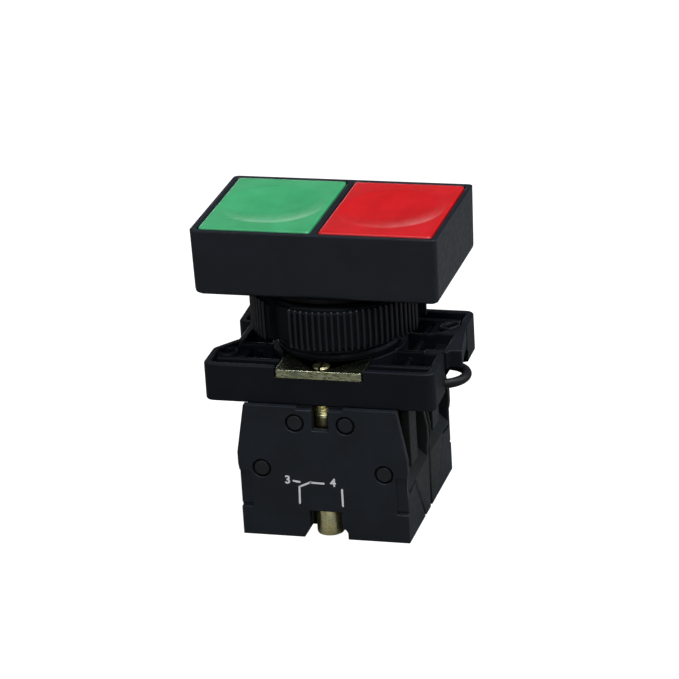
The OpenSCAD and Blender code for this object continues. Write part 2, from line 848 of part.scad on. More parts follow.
// Long screw that draws a block up to the collar
module fixing_screw() {
    tip_z = plate_top_z + 0.15;
    thread_l = tip_z - block_bottom_z - 19;
    color([0.66, 0.60, 0.36])
        translate([0, -fix_screw_y, 0])
            difference() {
                union() {
                    translate([0, 0, tip_z - thread_l]) cylinder(d = fix_screw_d, h = thread_l - 0.3);
                    translate([0, 0, tip_z - 0.3])
                        cylinder(r1 = fix_screw_d / 2, r2 = fix_screw_d / 2 - 0.3, h = 0.3);
                    translate([0, 0, block_bottom_z + fix_head_z + 1]) cylinder(r = fix_shank_r, h = 20);
                    translate([0, 0, block_bottom_z + fix_head_z]) cylinder(d = fix_head_d, h = fix_head_h);
                }
                cross_slot(block_bottom_z + fix_head_z, 1.6, fix_head_d);
                cross_slot(tip_z, 1, fix_screw_d);
            }
}

// Crossed driver slots centred on the height z
module cross_slot(z, depth, d) {
    for (turn = [0, 90])
        rotate([0, 0, turn]) translate([-d, -0.4, z - depth / 2]) cube([2 * d, 0.8, depth]);
}

// Contact blocks

function face_outline() = [
    [-block_w / 2, 0], [block_w / 2, 0],
    [block_w / 2, step_z], [shoulder_w / 2, shoulder_low_z], [shoulder_w / 2, shoulder_z],
    [block_top_w / 2, block_h], [-block_top_w / 2, block_h],
    [-shoulder_w / 2, shoulder_z], [-shoulder_w / 2, shoulder_low_z], [-block_w / 2, step_z]
];

function core_outline() = [
    [-block_w / 2, 0], [block_w / 2, 0],
    [block_w / 2, ledge_low_z], [ledge_x, ledge_high_z], [ledge_x, bay_floor_z],
    [core_half_w, bay_floor_z], [core_half_w, block_h],
    [-core_half_w, block_h], [-core_half_w, bay_floor_z], [-ledge_x, bay_floor_z],
    [-ledge_x, ledge_high_z], [-block_w / 2, ledge_low_z]
];

// Side of the cover that laps round the block, seen from the side as [y, z]
function cheek_outline(gap) = [
    [cover_back_y - cut, -cut], [bay_back_y - 2.7 + gap * 1.2, -cut],
    [bay_back_y - 9.2 + gap * 1.2, 9.2 + gap], [cover_back_y - cut, 8.6 + gap]
];

module cheeks(gap) {
    for (side = [-1, 1])
        translate([side * (block_w / 2 - cheek_t / 2) - cheek_t / 2 - gap, 0, 0])
            rotate([90, 0, 90])
                linear_extrude(cheek_t + 2 * gap)
                    polygon(cheek_outline(gap));
}

module block_housing() {
    color([0.10, 0.11, 0.12])
        difference() {
            union() {
                upright(cover_back_y, bay_back_y + cut) polygon(core_outline());
                upright(bay_back_y, back_y) polygon(face_outline());
                for (side = [-1, 1]) {
                    mirror([side < 0 ? 1 : 0, 0, 0]) {
                        translate([post_x, mid_y - post_w / 2, bay_floor_z - 2.4])
                            cube([post_t, post_w, block_h - bay_floor_z + 2.4]);
                        translate([core_half_w - 1, mid_y - post_w / 2, bridge_rib_z])
                            cube([post_x - core_half_w + 2, post_w, block_h - bridge_rib_z]);
                    }
                }
                for (side = [-1, 1])
                    for (s = stakes)
                        translate([side * s[0], cover_back_y + cut, s[1]])
                            rotate([90, 0, 0]) cylinder(d = stake_d, h = cover_t + cut - 0.05);
            }
            cheeks(slide_gap);
            chamber();
            fixing_channel();
            for (side = [-1, 1])
                translate([side * term_x, mid_y, -cut])
                    cylinder(d = term_head_d + 2 * slide_gap, h = bay_floor_z + 2 * cut);
            mirrored_x() strip_slot();
        }
}

// Slot in the core's wall through which a terminal strip reaches the contact
module strip_slot() {
    half_w = strip_neck_w / 2 + slide_gap;
    translate([chamber_half_w - cut, plunger_y - half_w, strip_z - slide_gap])
        cube([core_wall + 2 * cut, 2 * half_w, strip_t + 2 * slide_gap]);
}

// Closed chamber of the moving contact, and the plunger's way out of it
module chamber() {
    translate([-chamber_half_w, chamber_front_y, chamber_floor_z])
        cube([2 * chamber_half_w, bay_back_y - chamber_front_y, chamber_top_z - chamber_floor_z]);
    translate([0, plunger_y, chamber_top_z - cut])
        cylinder(r = plunger_r + slide_gap, h = block_h - chamber_top_z + 2 * cut);
    translate([0, plunger_y, chamber_floor_z - 1])
        cylinder(r = plunger_thin_r + slide_gap, h = 2);
}

// Channel of the fixing screw, open towards the cover at its head and its thread
module fixing_channel() {
    head_r = fix_head_d / 2 + slide_gap;
    translate([0, -fix_screw_y, -cut]) cylinder(r = fix_channel_r, h = block_h + 2 * cut);
    translate([0, -fix_screw_y, -cut]) cylinder(r = head_r, h = fix_head_z + fix_head_h + cut + stop_gap);
    translate([-head_r, cover_back_y - cut, -cut])
        cube([2 * head_r, -fix_screw_y - cover_back_y + cut, fix_head_z + fix_head_h + cut + stop_gap]);
    translate([-window_w / 2, cover_back_y - cut, window_z])
        cube([window_w, -fix_screw_y - cover_back_y + cut, block_h - window_z + cut]);
}

module block_cover() {
    foot_cut = [[-3.9, -cut], [-3.9, 0], [-2.8, 2], [-2.8, 5.1], [3, 5.1], [3, 2], [3.9, 1.6], [3.9, -cut]];
    color([0.11, 0.12, 0.14])
        difference() {
            union() {
                upright(face_y, cover_back_y)
                    difference() {
                        polygon(face_outline());
                        polygon(foot_cut);
                        translate([-window_w / 2, window_z]) square([window_w, block_h]);
                        translate([-4.1, block_h - 0.5]) square([8.2, 1]);
                        for (side = [-1, 1])
                            for (s = stakes)
                                translate([side * s[0], s[1]]) circle(r = stake_d / 2 + groove_w);
                    }
                intersection() {
                    cheeks(0);
                    translate([-block_w, cover_back_y - 0.2, 0]) cube([2 * block_w, block_t, block_h]);
                }
            }
            for (side = [-1, 1]) {
                translate([side > 0 ? 12.9 : -16, face_y - cut, 5.3]) cube([3.1, cut + 0.35, 6.8]);
                translate([side > 0 ? 12.9 : -16, face_y - cut, 5.3]) cube([3.1, cut + 0.7, 0.5]);
            }
            translate([0, -fix_screw_y, -cut])
                cylinder(r = fix_head_d / 2 + slide_gap, h = fix_head_z + fix_head_h + cut + part_gap);
        }
}

// Plunger of a block: a wide stem above stem_z, and a flange that carries the bridge
module plunger(low_flange_z, stem_z) {
    thin_z = chamber_floor_z + press_travel;
    color([0.85, 0.84, 0.80])
        translate([0, plunger_y, 0]) {
            translate([0, 0, stem_z]) cylinder(r = plunger_r, h = plunger_top_z - stem_z);
            translate([0, 0, flange_z]) cylinder(r = plunger_flange_r, h = flange_t);
            translate([0, 0, thin_z]) cylinder(r = plunger_thin_r, h = flange_z - thin_z + 0.5);
            translate([0, 0, low_flange_z]) cylinder(r = plunger_r, h = 1);
        }
}

module contact_bridge(rest_z, tips_up) {
    color([0.78, 0.55, 0.30])
        translate([0, plunger_y, rest_z])
            difference() {
                union() {
                    translate([-bridge_half_w, -bridge_d / 2, 0])
                        cube([2 * bridge_half_w, bridge_d, strip_t]);
                    for (side = [-1, 1])
                        translate([side * rivet_x, 0, tips_up ? 0.3 : -rivet_h])
                            cylinder(d = rivet_d, h = rivet_h + strip_t - 0.3);
                }
                translate([0, 0, -cut]) cylinder(r = plunger_thin_r + slide_gap, h = strip_t + 2 * cut);
            }
}

// Fixed contact, the wall it passes through and the terminal plate, as one strip
module terminal_strips(tip_z, tips_up) {
    color([0.80, 0.62, 0.30])
        mirrored_x()
            difference() {
                union() {
                    translate([core_half_w + slide_gap, mid_y - strip_half_y, strip_z])
                        cube([post_x - core_half_w - 2 * slide_gap, 2 * strip_half_y, strip_t]);
                    translate([leg_x, plunger_y - strip_neck_w / 2, strip_z])
                        cube([core_half_w - leg_x + 1, strip_neck_w, strip_t]);
                    translate([leg_x, plunger_y - tip_w / 2, tip_z])
                        cube([strip_t, tip_w, strip_z - tip_z + 0.2]);
                    translate([tip_in_x, plunger_y - tip_w / 2, tip_z])
                        cube([leg_x - tip_in_x + 0.2, tip_w, strip_t]);
                    translate([rivet_x, plunger_y, tips_up ? tip_z + 0.3 : tip_z - rivet_h])
                        cylinder(d = rivet_d, h = rivet_h + strip_t - 0.3);
                }
                translate([term_x, mid_y, strip_z - cut])
                    cylinder(d = term_screw_d + slide_gap, h = strip_t + 2 * cut);
            }
}

module terminal_screws() {
    head_z = term_head_top_z - term_head_h;
    color([0.75, 0.72, 0.60])
        mirrored_x()
            translate([term_x, mid_y, 0])
                difference() {
                    union() {
                        translate([0, 0, head_z]) cylinder(d = term_head_d, h = term_head_h);
                        translate([0, 0, head_z + 0.5])
                            cylinder(d = term_screw_d, h = bridge_rib_z - head_z - 1);
                    }
                    cross_slot(head_z, 2, term_head_d);
                }
}

module wire_clamps() {
    half_y = strip_half_y;
    color([0.75, 0.72, 0.60])
        mirrored_x()
            difference() {
                translate([core_half_w + slide_gap, mid_y - half_y, clamp_z])
                    cube([post_x - core_half_w - 2 * slide_gap, 2 * half_y, clamp_t]);
                translate([term_x, mid_y, clamp_z - cut])
                    cylinder(d = term_screw_d + 2 * slide_gap, h = clamp_t + 2 * cut);
            }
}

module block_spring(r, wire, z0, z1, turns) {
    color([0.72, 0.72, 0.74])
        translate([0, plunger_y, z0 + seat_gap]) coil_spring(r, wire, z1 - z0 - 2 * seat_gap, turns, 12);
}

bezel();
operator_body();
panel_gasket();
ring_nut();
translate([-well_x, 0, 0]) cap([0.28, 0.66, 0.43]);  // green_button
at_rear() translate([-well_x, 0, 0]) cap([0.80, 0.10, 0.14]);  // red_button
pusher([0.85, 0.85, 0.82]);  // green_pusher
at_rear() pusher([0.85, 0.85, 0.82]);  // red_pusher
head_spring();  // green_return_spring
at_rear() head_spring();  // red_return_spring
mounting_collar();
lock_lever();
nut_plate();  // front_nut_plate
at_rear() nut_plate();  // rear_nut_plate
fixing_screw();  // front_fixing_screw
at_rear() fixing_screw();  // rear_fixing_screw
on_block() block_housing();  // front_block_housing
at_rear() on_block() block_housing();  // rear_block_housing
on_block() block_cover();  // front_block_cover
at_rear() on_block() block_cover();  // rear_block_cover
on_block() plunger(no_bottom_flange_z, flange_z);  // front_plunger
at_rear() on_block() plunger(nc_bottom_flange_z, nc_top_flange_z);  // rear_plunger
on_block()  // front_plunger_spring
        block_spring(
            thin_spring_r, block_spring_wire, chamber_floor_z, no_bottom_flange_z, block_spring_turns + 1
        );
at_rear() on_block()  // rear_plunger_spring
        block_spring(
            thin_spring_r, block_spring_wire, chamber_floor_z, nc_bottom_flange_z, block_spring_turns
        );
on_block() contact_bridge(no_rest_z, false);  // front_contact_bridge
at_rear() on_block() contact_bridge(nc_rest_z, true);  // rear_contact_bridge
on_block()  // front_contact_spring
        block_spring(load_spring_r, block_spring_wire, no_rest_z + strip_t, flange_z, block_spring_turns);
at_rear() on_block()  // rear_contact_spring
        block_spring(thin_spring_r, nc_spring_wire, nc_bottom_flange_z + 1, nc_rest_z, block_spring_turns);
on_block() terminal_strips(no_tip_z, true);  // front_terminal_strips
at_rear() on_block() terminal_strips(nc_tip_z, false);  // rear_terminal_strips
on_block() terminal_screws();  // front_terminal_screws
at_rear() on_block() terminal_screws();  // rear_terminal_screws
on_block() wire_clamps();  // front_wire_clamps
at_rear() on_block() wire_clamps();  // rear_wire_clamps
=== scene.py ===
"""Dressed model of a flush double push button with its ring nut, collar and contact blocks.

All sizes are millimetres in the part's frame: +Z leaves the panel, +X runs from
the green button to the red one, +Y points to the rear contact block.
"""
import logging
import math
from dataclasses import dataclass, field
from enum import Enum
from typing import Callable, Sequence

import bmesh
import bpy
from mathutils import Matrix, Vector


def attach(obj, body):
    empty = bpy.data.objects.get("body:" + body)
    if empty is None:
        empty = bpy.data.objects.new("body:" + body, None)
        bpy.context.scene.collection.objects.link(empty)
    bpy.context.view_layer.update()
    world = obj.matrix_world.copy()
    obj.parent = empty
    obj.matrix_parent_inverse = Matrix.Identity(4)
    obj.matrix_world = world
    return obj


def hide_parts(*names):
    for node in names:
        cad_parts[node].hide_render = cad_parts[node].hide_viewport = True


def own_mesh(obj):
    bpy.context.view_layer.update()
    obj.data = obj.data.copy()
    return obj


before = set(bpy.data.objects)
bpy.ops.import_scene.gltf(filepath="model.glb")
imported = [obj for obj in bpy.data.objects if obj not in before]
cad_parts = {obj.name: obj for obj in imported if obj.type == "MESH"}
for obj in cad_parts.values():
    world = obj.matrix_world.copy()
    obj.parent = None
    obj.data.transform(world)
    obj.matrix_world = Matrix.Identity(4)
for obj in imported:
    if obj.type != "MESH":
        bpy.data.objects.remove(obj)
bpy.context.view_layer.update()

LOG = logging.getLogger("double_push_button")
MM = 0.001
TAU = 2 * math.pi
BLOCK_FOOT_Z = -43.65
Colour = tuple[float, float, float]
Point = tuple[float, float, float]
Pair = tuple[float, float]


class Side(Enum):
    """Which of the two contact blocks a piece belongs to."""

    FRONT = "front"
    REAR = "rear"

    @property
    def turn(self) -> float:
        """Gives how far the block is turned from the front one, in degrees."""
        return 0.0 if self is Side.FRONT else 180.0


class Press(Enum):
    """The two buttons, and how far each is turned from the green one, in degrees."""

    GREEN = ("green", 0.0)
    RED = ("red", 180.0)


class Shade(Enum):
    """How a piece's surface normals are drawn."""

    SOFT = "soft"
    WEIGHTED = "weighted"


# Materials


def add_node(tree: bpy.types.NodeTree, kind: str, values: dict[str | int, object] | None = None,
             **settings: object) -> bpy.types.Node:
    """Adds a node to a tree of any kind.

    Args:
        tree: The tree.
        kind: Blender's name of the node.
        values: Input values or sockets by input name or number.
        settings: Settings of the node itself.

    Returns:
        The node.
    """
    node = tree.nodes.new(kind)
    for key, value in settings.items():
        setattr(node, key, value)
    for key, value in (values or {}).items():
        if isinstance(value, bpy.types.NodeSocket):
            tree.links.new(value, node.inputs[key])
        else:
            node.inputs[key].default_value = value
    return node


@dataclass
class Graph:
    """A material's node tree with short calls for the nodes it is made of.

    Args:
        name: The material's name.
    """

    name: str
    material: bpy.types.Material = field(init=False)
    tree: bpy.types.NodeTree = field(init=False)
    shader: bpy.types.Node = field(init=False)
    millimetres: bpy.types.NodeSocket = field(init=False)

    def __post_init__(self) -> None:
        """Makes the empty material and a Mapping node that counts in millimetres."""
        self.material = bpy.data.materials.new(self.name)
        self.material.use_nodes = True
        self.tree = self.material.node_tree
        self.shader = self.tree.nodes["Principled BSDF"]
        coords = self.step("ShaderNodeTexCoord")
        self.millimetres = self.step("ShaderNodeMapping", {
            "Scale": (1 / MM, 1 / MM, 1 / MM), "Vector": coords.outputs["Object"]}).outputs["Vector"]

    def step(self, kind: str, values: dict[str | int, object] | None = None,
             **settings: object) -> bpy.types.Node:
        """Adds a node to the material."""
        return add_node(self.tree, kind, values, **settings)

    def stretched(self, scale: Point) -> bpy.types.NodeSocket:
        """Gives coordinates in millimetres, stretched along the axes."""
        return self.step("ShaderNodeMapping", {"Scale": scale, "Vector": self.millimetres}).outputs["Vector"]

    def noise(self, per_mm: float, detail: float = 3.0, rough: float = 0.55,
              where: bpy.types.NodeSocket | None = None) -> bpy.types.NodeSocket:
        """Adds a noise pattern.

        Args:
            per_mm: Spots for each millimetre.
            detail: Octaves of finer spots.
            rough: Strength of the finer spots.
            where: Coordinates, or None for millimetres.

        Returns:
            The factor socket.
        """
        return self.step("ShaderNodeTexNoise", {
            "Scale": per_mm, "Detail": detail, "Roughness": rough,
            "Vector": where or self.millimetres}).outputs["Fac"]

    def spread(self, value: bpy.types.NodeSocket, low: float, high: float,
               start: float = 0.3, end: float = 0.7) -> bpy.types.NodeSocket:
        """Maps a 0 to 1 pattern onto a range.

        Args:
            value: The pattern.
            low: Result where the pattern is at start.
            high: Result where the pattern is at end.
            start: Lower limit of the pattern.
            end: Upper limit of the pattern.

        Returns:
            The value socket.
        """
        return self.step("ShaderNodeMapRange", {
            "From Min": start, "From Max": end, "To Min": low, "To Max": high,
            "Value": value}).outputs["Result"]

    def sum(self, operation: str, a: object, b: object) -> bpy.types.NodeSocket:
        """Joins two values or sockets by a sum that Blender names."""
        return self.step("ShaderNodeMath", {0: a, 1: b}, operation=operation).outputs["Value"]

    def blend(self, share: bpy.types.NodeSocket, a: Colour | bpy.types.NodeSocket,
              b: Colour | bpy.types.NodeSocket) -> bpy.types.NodeSocket:
        """Mixes two colours by a pattern that is 0 for the first and 1 for the second."""
        first, second = ((*value, 1.0) if isinstance(value, tuple) else value for value in (a, b))
        return self.step("ShaderNodeMix", {"Factor": share, 6: first, 7: second}, data_type="RGBA").outputs[2]

    def edges(self, radius: float) -> bpy.types.NodeSocket:
        """Finds the edges of the form.

        Args:
            radius: Width of an edge in millimetres.

        Returns:
            A socket that is 1 on edges and 0 on open faces.
        """
        rounder = self.step("ShaderNodeBevel", {"Radius": radius * MM}, samples=4)
        shape = self.step("ShaderNodeNewGeometry")
        dot = self.step("ShaderNodeVectorMath", {
            0: rounder.outputs["Normal"], 1: shape.outputs["True Normal"]}, operation="DOT_PRODUCT")
        return self.spread(dot.outputs["Value"], 1.0, 0.0, 0.72, 0.99)

    def bump(self, height: bpy.types.NodeSocket, depth: float, strength: float,
             under: bpy.types.NodeSocket | None = None) -> bpy.types.NodeSocket:
        """Raises the surface by a pattern.

        Args:
            height: The pattern.
            depth: Height of the pattern in millimetres.
            strength: Share of the bump that shows.
            under: A bump that this one lies on.

        Returns:
            The normal socket.
        """
        values = {"Distance": depth * MM, "Strength": strength, "Height": height}
        if under is not None:
            values["Normal"] = under
        return self.step("ShaderNodeBump", values).outputs["Normal"]

    def put(self, **sockets: bpy.types.NodeSocket | float | Colour) -> bpy.types.Material:
        """Sets the shader's inputs, by links or by plain values.

        Args:
            sockets: Input names with underscores for spaces.

        Returns:
            The finished material.
        """
        for key, value in sockets.items():
            socket = self.shader.inputs[key.replace("_", " ")]
            if isinstance(value, bpy.types.NodeSocket):
                self.tree.links.new(value, socket)
            elif isinstance(value, tuple):
                socket.default_value = (*value, 1.0)
            else:
                socket.default_value = value
        return self.material


@dataclass(frozen=True)
class MouldedPlastic:
    """Injection-moulded plastic with a fine spark grain, flow marks and rubbed edges.

    Args:
        name: Name of the finish.
        colour: Colour of the plastic.
        rubbed_and_highlight: Colour of its rubbed edges.
        roughness: Lowest and highest roughness.
        grain_per_mm: Spots of the grain for each millimetre.
        grain_depth: Depth of the grain in millimetres.
        wear: Share of the rubbed colour on edges.
        gloss: Specular level.
    """

    name: str
    colour: Colour
    rubbed_and_highlight: Colour
    roughness: Pair = (0.42, 0.56)
    grain_per_mm: float = 7.0
    grain_depth: float = 0.012
    wear: float = 0.45
    gloss: float = 0.5

    def make(self) -> bpy.types.Material:
        """Builds the material."""
        g = Graph(self.name)
        grain = g.noise(self.grain_per_mm, 2.0, 0.5)
        flow = g.noise(0.16, 3.0, 0.5)
        dust = g.noise(1.1, 5.0, 0.65)
        dark = tuple(c * 0.8 for c in self.colour)
        light = tuple(min(1.0, c * 1.18) for c in self.colour)
        base = g.blend(g.spread(flow, 0.0, 1.0), dark, light)
        edge = g.sum("MULTIPLY", g.edges(0.16), g.spread(dust, 0.25, 1.0))
        colour = g.blend(g.sum("MULTIPLY", edge, self.wear), base, self.rubbed_and_highlight)
        shine = g.spread(dust, *self.roughness)
        shine = g.sum("SUBTRACT", shine, g.sum("MULTIPLY", edge, 0.08))
        low = g.bump(flow, 0.05, 0.35)
        normal = g.bump(grain, self.grain_depth, 0.5, low)
        return g.put(Base_Color=colour, Roughness=shine, Normal=normal, IOR=1.5,
                     Specular_IOR_Level=self.gloss)


@dataclass(frozen=True)
class CapPlastic:
    """Coloured cap plastic: satin, slightly cloudy, smeared by fingers.

    Args:
        name: Name of the finish.
        colour: Colour of the cap.
        deep: Colour of its darker clouds.
        roughness: Lowest and highest roughness.
    """

    name: str
    colour: Colour
    deep: Colour
    roughness: Pair = (0.3, 0.42)

    def make(self) -> bpy.types.Material:
        """Builds the material."""
        g = Graph(self.name)
        clouds = g.noise(0.2, 3.0, 0.5)
        specks = g.noise(9.0, 2.0, 0.5)
        smears = g.noise(0.6, 4.0, 0.6, g.stretched((1.0, 0.45, 1.0)))
        base = g.blend(g.spread(clouds, 0.0, 1.0), self.deep, self.colour)
        edge = g.edges(0.14)
        pale = tuple(min(1.0, c * 0.8 + 0.12) for c in self.colour)
        colour = g.blend(g.sum("MULTIPLY", edge, 0.25), base, pale)
        low = g.bump(clouds, 0.04, 0.3)
        normal = g.bump(specks, 0.006, 0.4, low)
        return g.put(Base_Color=colour, Roughness=g.spread(smears, *self.roughness), Normal=normal,
                     IOR=1.49, Subsurface_Weight=0.06, Subsurface_Scale=0.6 * MM)


@dataclass(frozen=True)
class PlatedSteel:
    """Zinc-plated steel with a yellow passivation that shifts from green to straw, and a painted highlight on
    its edges and tool-mark streaks.

    Args:
        name: Name of the finish.
        straw: Main colour.
        green: Colour of the shifted patches.
        roughness: Lowest and highest roughness.
        marks: Stretch of the tool marks along X, Y and Z.
        mark_depth: Depth of the tool marks in millimetres.
        spots: Share of the dark spots.
    """

    name: str
    straw: Colour = (0.66, 0.64, 0.36)
    green: Colour = (0.34, 0.42, 0.27)
    roughness: Pair = (0.16, 0.4)
    marks: Point = (0.35, 2.0, 2.6)
    mark_depth: float = 0.03
    spots: float = 0.85

    def make(self) -> bpy.types.Material:
        """Builds the material."""
        g = Graph(self.name)
        patches = g.noise(0.5, 4.0, 0.6)
        pits = g.noise(2.6, 3.0, 0.55, g.stretched((0.45, 1.0, 1.5)))
        lines = g.noise(1.5, 3.0, 0.6, g.stretched(self.marks))
        base = g.blend(g.spread(patches, 0.0, 1.0, 0.35, 0.65), self.straw, self.green)
        spotted = g.blend(g.spread(pits, 0.0, self.spots, 0.46, 0.6), base, (0.13, 0.16, 0.1))
        # Painted highlight: the edges and the brightest tool-mark streaks are blended towards a pale colour
        # that stands for light caught there.
        rubbed_and_highlight = g.sum("MAXIMUM", g.edges(0.2), g.spread(lines, 0.0, 0.6, 0.53, 0.63))
        colour = g.blend(g.sum("MULTIPLY", rubbed_and_highlight, 0.9), spotted, (0.94, 0.95, 0.8))
        normal = g.bump(lines, self.mark_depth, 0.6, g.bump(pits, 0.02, 0.5))
        return g.put(Base_Color=colour, Metallic=1.0, Roughness=g.spread(pits, *self.roughness),
                     Normal=normal)


@dataclass(frozen=True)
class BareMetal:
    """Drawn or stamped bare metal with fine draw marks.

    Args:
        name: Name of the finish.
        colour: Colour of clean metal.
        dull: Colour of tarnished metal.
        marks: Stretch of the draw marks along X, Y and Z.
        roughness: Lowest and highest roughness.
    """

    name: str
    colour: Colour
    dull: Colour
    marks: Point = (1.0, 1.0, 8.0)
    roughness: Pair = (0.2, 0.42)

    def make(self) -> bpy.types.Material:
        """Builds the material."""
        g = Graph(self.name)
        lines = g.noise(1.4, 4.0, 0.6, g.stretched(self.marks))
        tarnish = g.noise(0.7, 4.0, 0.6)
        base = g.blend(g.spread(tarnish, 0.0, 1.0, 0.4, 0.75), self.colour, self.dull)
        return g.put(Base_Color=base, Metallic=1.0, Roughness=g.spread(lines, *self.roughness),
                     Normal=g.bump(lines, 0.006, 0.35))


@dataclass(frozen=True)
class SealRubber:
    """Moulded black rubber with a dry, slightly chalky skin.

    Args:
        name: Name of the finish.
    """

    name: str = "seal_rubber"

    def make(self) -> bpy.types.Material:
        """Builds the material."""
        g = Graph(self.name)
        chalk = g.noise(2.2, 5.0, 0.65)
        skin = g.noise(11.0, 2.0, 0.5)
        base = g.blend(g.spread(chalk, 0.0, 1.0, 0.45, 0.8), (0.002, 0.002, 0.002), (0.01, 0.01, 0.01))
        return g.put(Base_Color=base, Roughness=g.spread(chalk, 0.7, 0.9), Normal=g.bump(skin, 0.01, 0.5),
                     Specular_IOR_Level=0.15)


@dataclass(frozen=True)
class PrintInk:
    """Pad-printed pale ink, thin and a little broken at its edge.

    Args:
        name: Name of the finish.
    """

    name: str = "pale_print"

    def make(self) -> bpy.types.Material:
        """Builds the material."""
        g = Graph(self.name)
        thin = g.noise(6.0, 4.0, 0.6)
        base = g.blend(g.spread(thin, 0.0, 1.0, 0.5, 0.85), (0.95, 0.97, 1.0), (0.68, 0.72, 0.76))
        return g.put(Base_Color=base, Roughness=g.spread(thin, 0.45, 0.6), Normal=g.bump(thin, 0.004, 0.4))


# Meshes


def linked(name: str, data: bpy.types.ID | None) -> bpy.types.Object:
    """Makes an object round its data and puts it into the scene.

    Args:
        name: The object's name.
        data: Its mesh, curve, camera or lamp.

    Returns:
        The object.
    """
    obj = bpy.data.objects.new(name, data)
    bpy.context.scene.collection.objects.link(obj)
    return obj


def level(outline: Sequence[Pair], z: float, across: float = 0.0) -> list[Point]:
    """Lays an outline at one height."""
    return [(x + across, y, z) for x, y in outline]


def circle(radius: float | Callable[[int], float], z: float, count: int,
           centre: Pair = (0.0, 0.0)) -> list[Point]:
    """Gives the points of a level ring.

    Args:
        radius: Its radius, or a rule that gives the radius of each point.
        z: Its height.
        count: Number of points.
        centre: Its middle along X and Y.

    Returns:
        The points, turning left.
    """
    points = []
    for i in range(count):
        r = radius(i) if callable(radius) else radius
        a = TAU * i / count
        points.append((centre[0] + r * math.cos(a), centre[1] + r * math.sin(a), z))
    return points


@dataclass
class Shell:
    """Points and faces of one piece in millimetres, gathered before its mesh is made."""

    points: list[Point] = field(default_factory=list)
    faces: list[tuple[int, ...]] = field(default_factory=list)

    def ring(self, points: Sequence[Point]) -> list[int]:
        """Adds a row of points.

        Args:
            points: The points in order.

        Returns:
            Their numbers.
        """
        first = len(self.points)
        self.points.extend(points)
        return list(range(first, len(self.points)))

    def bridge(self, a: Sequence[int], b: Sequence[int]) -> None:
        """Joins two closed rows of the same length with four-sided faces.

        Args:
            a: First row.
            b: Second row.
        """
        for i in range(len(a)):
            j = (i + 1) % len(a)
            self.faces.append((a[i], a[j], b[j], b[i]))

    def loft(self, rows: Sequence[Sequence[Point]]) -> None:
        """Joins rows of points into a skin and fills its two ends.

        Args:
            rows: Closed rows of equal length.
        """
        rings = [self.ring(row) for row in rows]
        for a, b in zip(rings, rings[1:]):
            self.bridge(a, b)
        self.faces.append(tuple(reversed(rings[0])))
        self.faces.append(tuple(rings[-1]))

    def loop(self, rows: Sequence[Sequence[Point]]) -> None:
        """Joins rows into a closed tube that ends where it starts.

        Args:
            rows: Closed rows of equal length.
        """
        rings = [self.ring(row) for row in rows]
        for a, b in zip(rings, rings[1:] + rings[:1]):
            self.bridge(a, b)

    def lathe(self, profile: Sequence[Pair], count: int, centre: Pair = (0.0, 0.0),
              closed: bool = False) -> None:
        """Turns a profile round a line along Z.

        Args:
            profile: Radius and height of each point, from one end to the other.
            count: Steps round the line.
            centre: Where the line stands along X and Y.
            closed: Whether the profile joins up with itself.
        """
        rows = [circle(r, z, count, centre) for r, z in profile]
        if closed:
            self.loop(rows)
        else:
            self.loft(rows)

    def build(self, name: str, outwards: bool = True) -> bpy.types.Object:
        """Makes the object, with its place in its mesh.

        Args:
            name: The piece's name.
            outwards: Whether the faces are turned to point outwards.

        Returns:
            The object.
        """
        mesh = bpy.data.meshes.new(name)
        mesh.from_pydata([tuple(c * MM for c in p) for p in self.points], [], self.faces)
        work = bmesh.new()
        work.from_mesh(mesh)
        bmesh.ops.remove_doubles(work, verts=work.verts, dist=1e-7)
        if outwards:
            bmesh.ops.recalc_face_normals(work, faces=work.faces)
        work.to_mesh(mesh)
        work.free()
        return linked(name, mesh)


def arc(x: float, y: float, r: float, start: float, end: float, steps: int) -> list[Pair]:
    """Gives points on an arc.

    Args:
        x: Centre along the first axis.
        y: Centre along the second axis.
        r: Radius.
        start: First angle in degrees.
        end: Last angle in degrees.
        steps: Number of steps.

    Returns:
        The points.
    """
    return [
        (x + r * math.cos(math.radians(start + (end - start) * k / steps)),
         y + r * math.sin(math.radians(start + (end - start) * k / steps)))
        for k in range(steps + 1)
    ]


def rounded_outline(w: float, d: float, r: float, corner: int, side: int) -> list[Pair]:
    """Gives an upright rectangle's outline with round corners and divided sides.

    Args:
        w: Width along X.
        d: Depth along Y.
        r: Radius of the corners.
        corner: Steps in each corner.
        side: Steps along each side.

    Returns:
        The points, turning left.
    """
    corners = [(w / 2 - r, d / 2 - r, 0), (-w / 2 + r, d / 2 - r, 90),
               (-w / 2 + r, -d / 2 + r, 180), (w / 2 - r, -d / 2 + r, 270)]
    points: list[Pair] = []
    for i, (x, y, turn) in enumerate(corners):
        bend = arc(x, y, r, turn, turn + 90, corner)
        points.extend(bend)
        nx, ny, nturn = corners[(i + 1) % 4]
        target = arc(nx, ny, r, nturn, nturn, 1)[0]
        last = bend[-1]
        for k in range(1, side):
            t = k / side
            points.append((last[0] + (target[0] - last[0]) * t, last[1] + (target[1] - last[1]) * t))
    return points


def freeze(obj: bpy.types.Object) -> bpy.types.Object:
    """Turns an object's modifiers into plain mesh.

    Args:
        obj: The object.

    Returns:
        The same object without modifiers.
    """
    bpy.context.view_layer.update()
    depsgraph = bpy.context.evaluated_depsgraph_get()
    made = bpy.data.meshes.new_from_object(obj.evaluated_get(depsgraph), depsgraph=depsgraph)
    obj.modifiers.clear()
    made.name = obj.data.name
    obj.data = made
    return obj


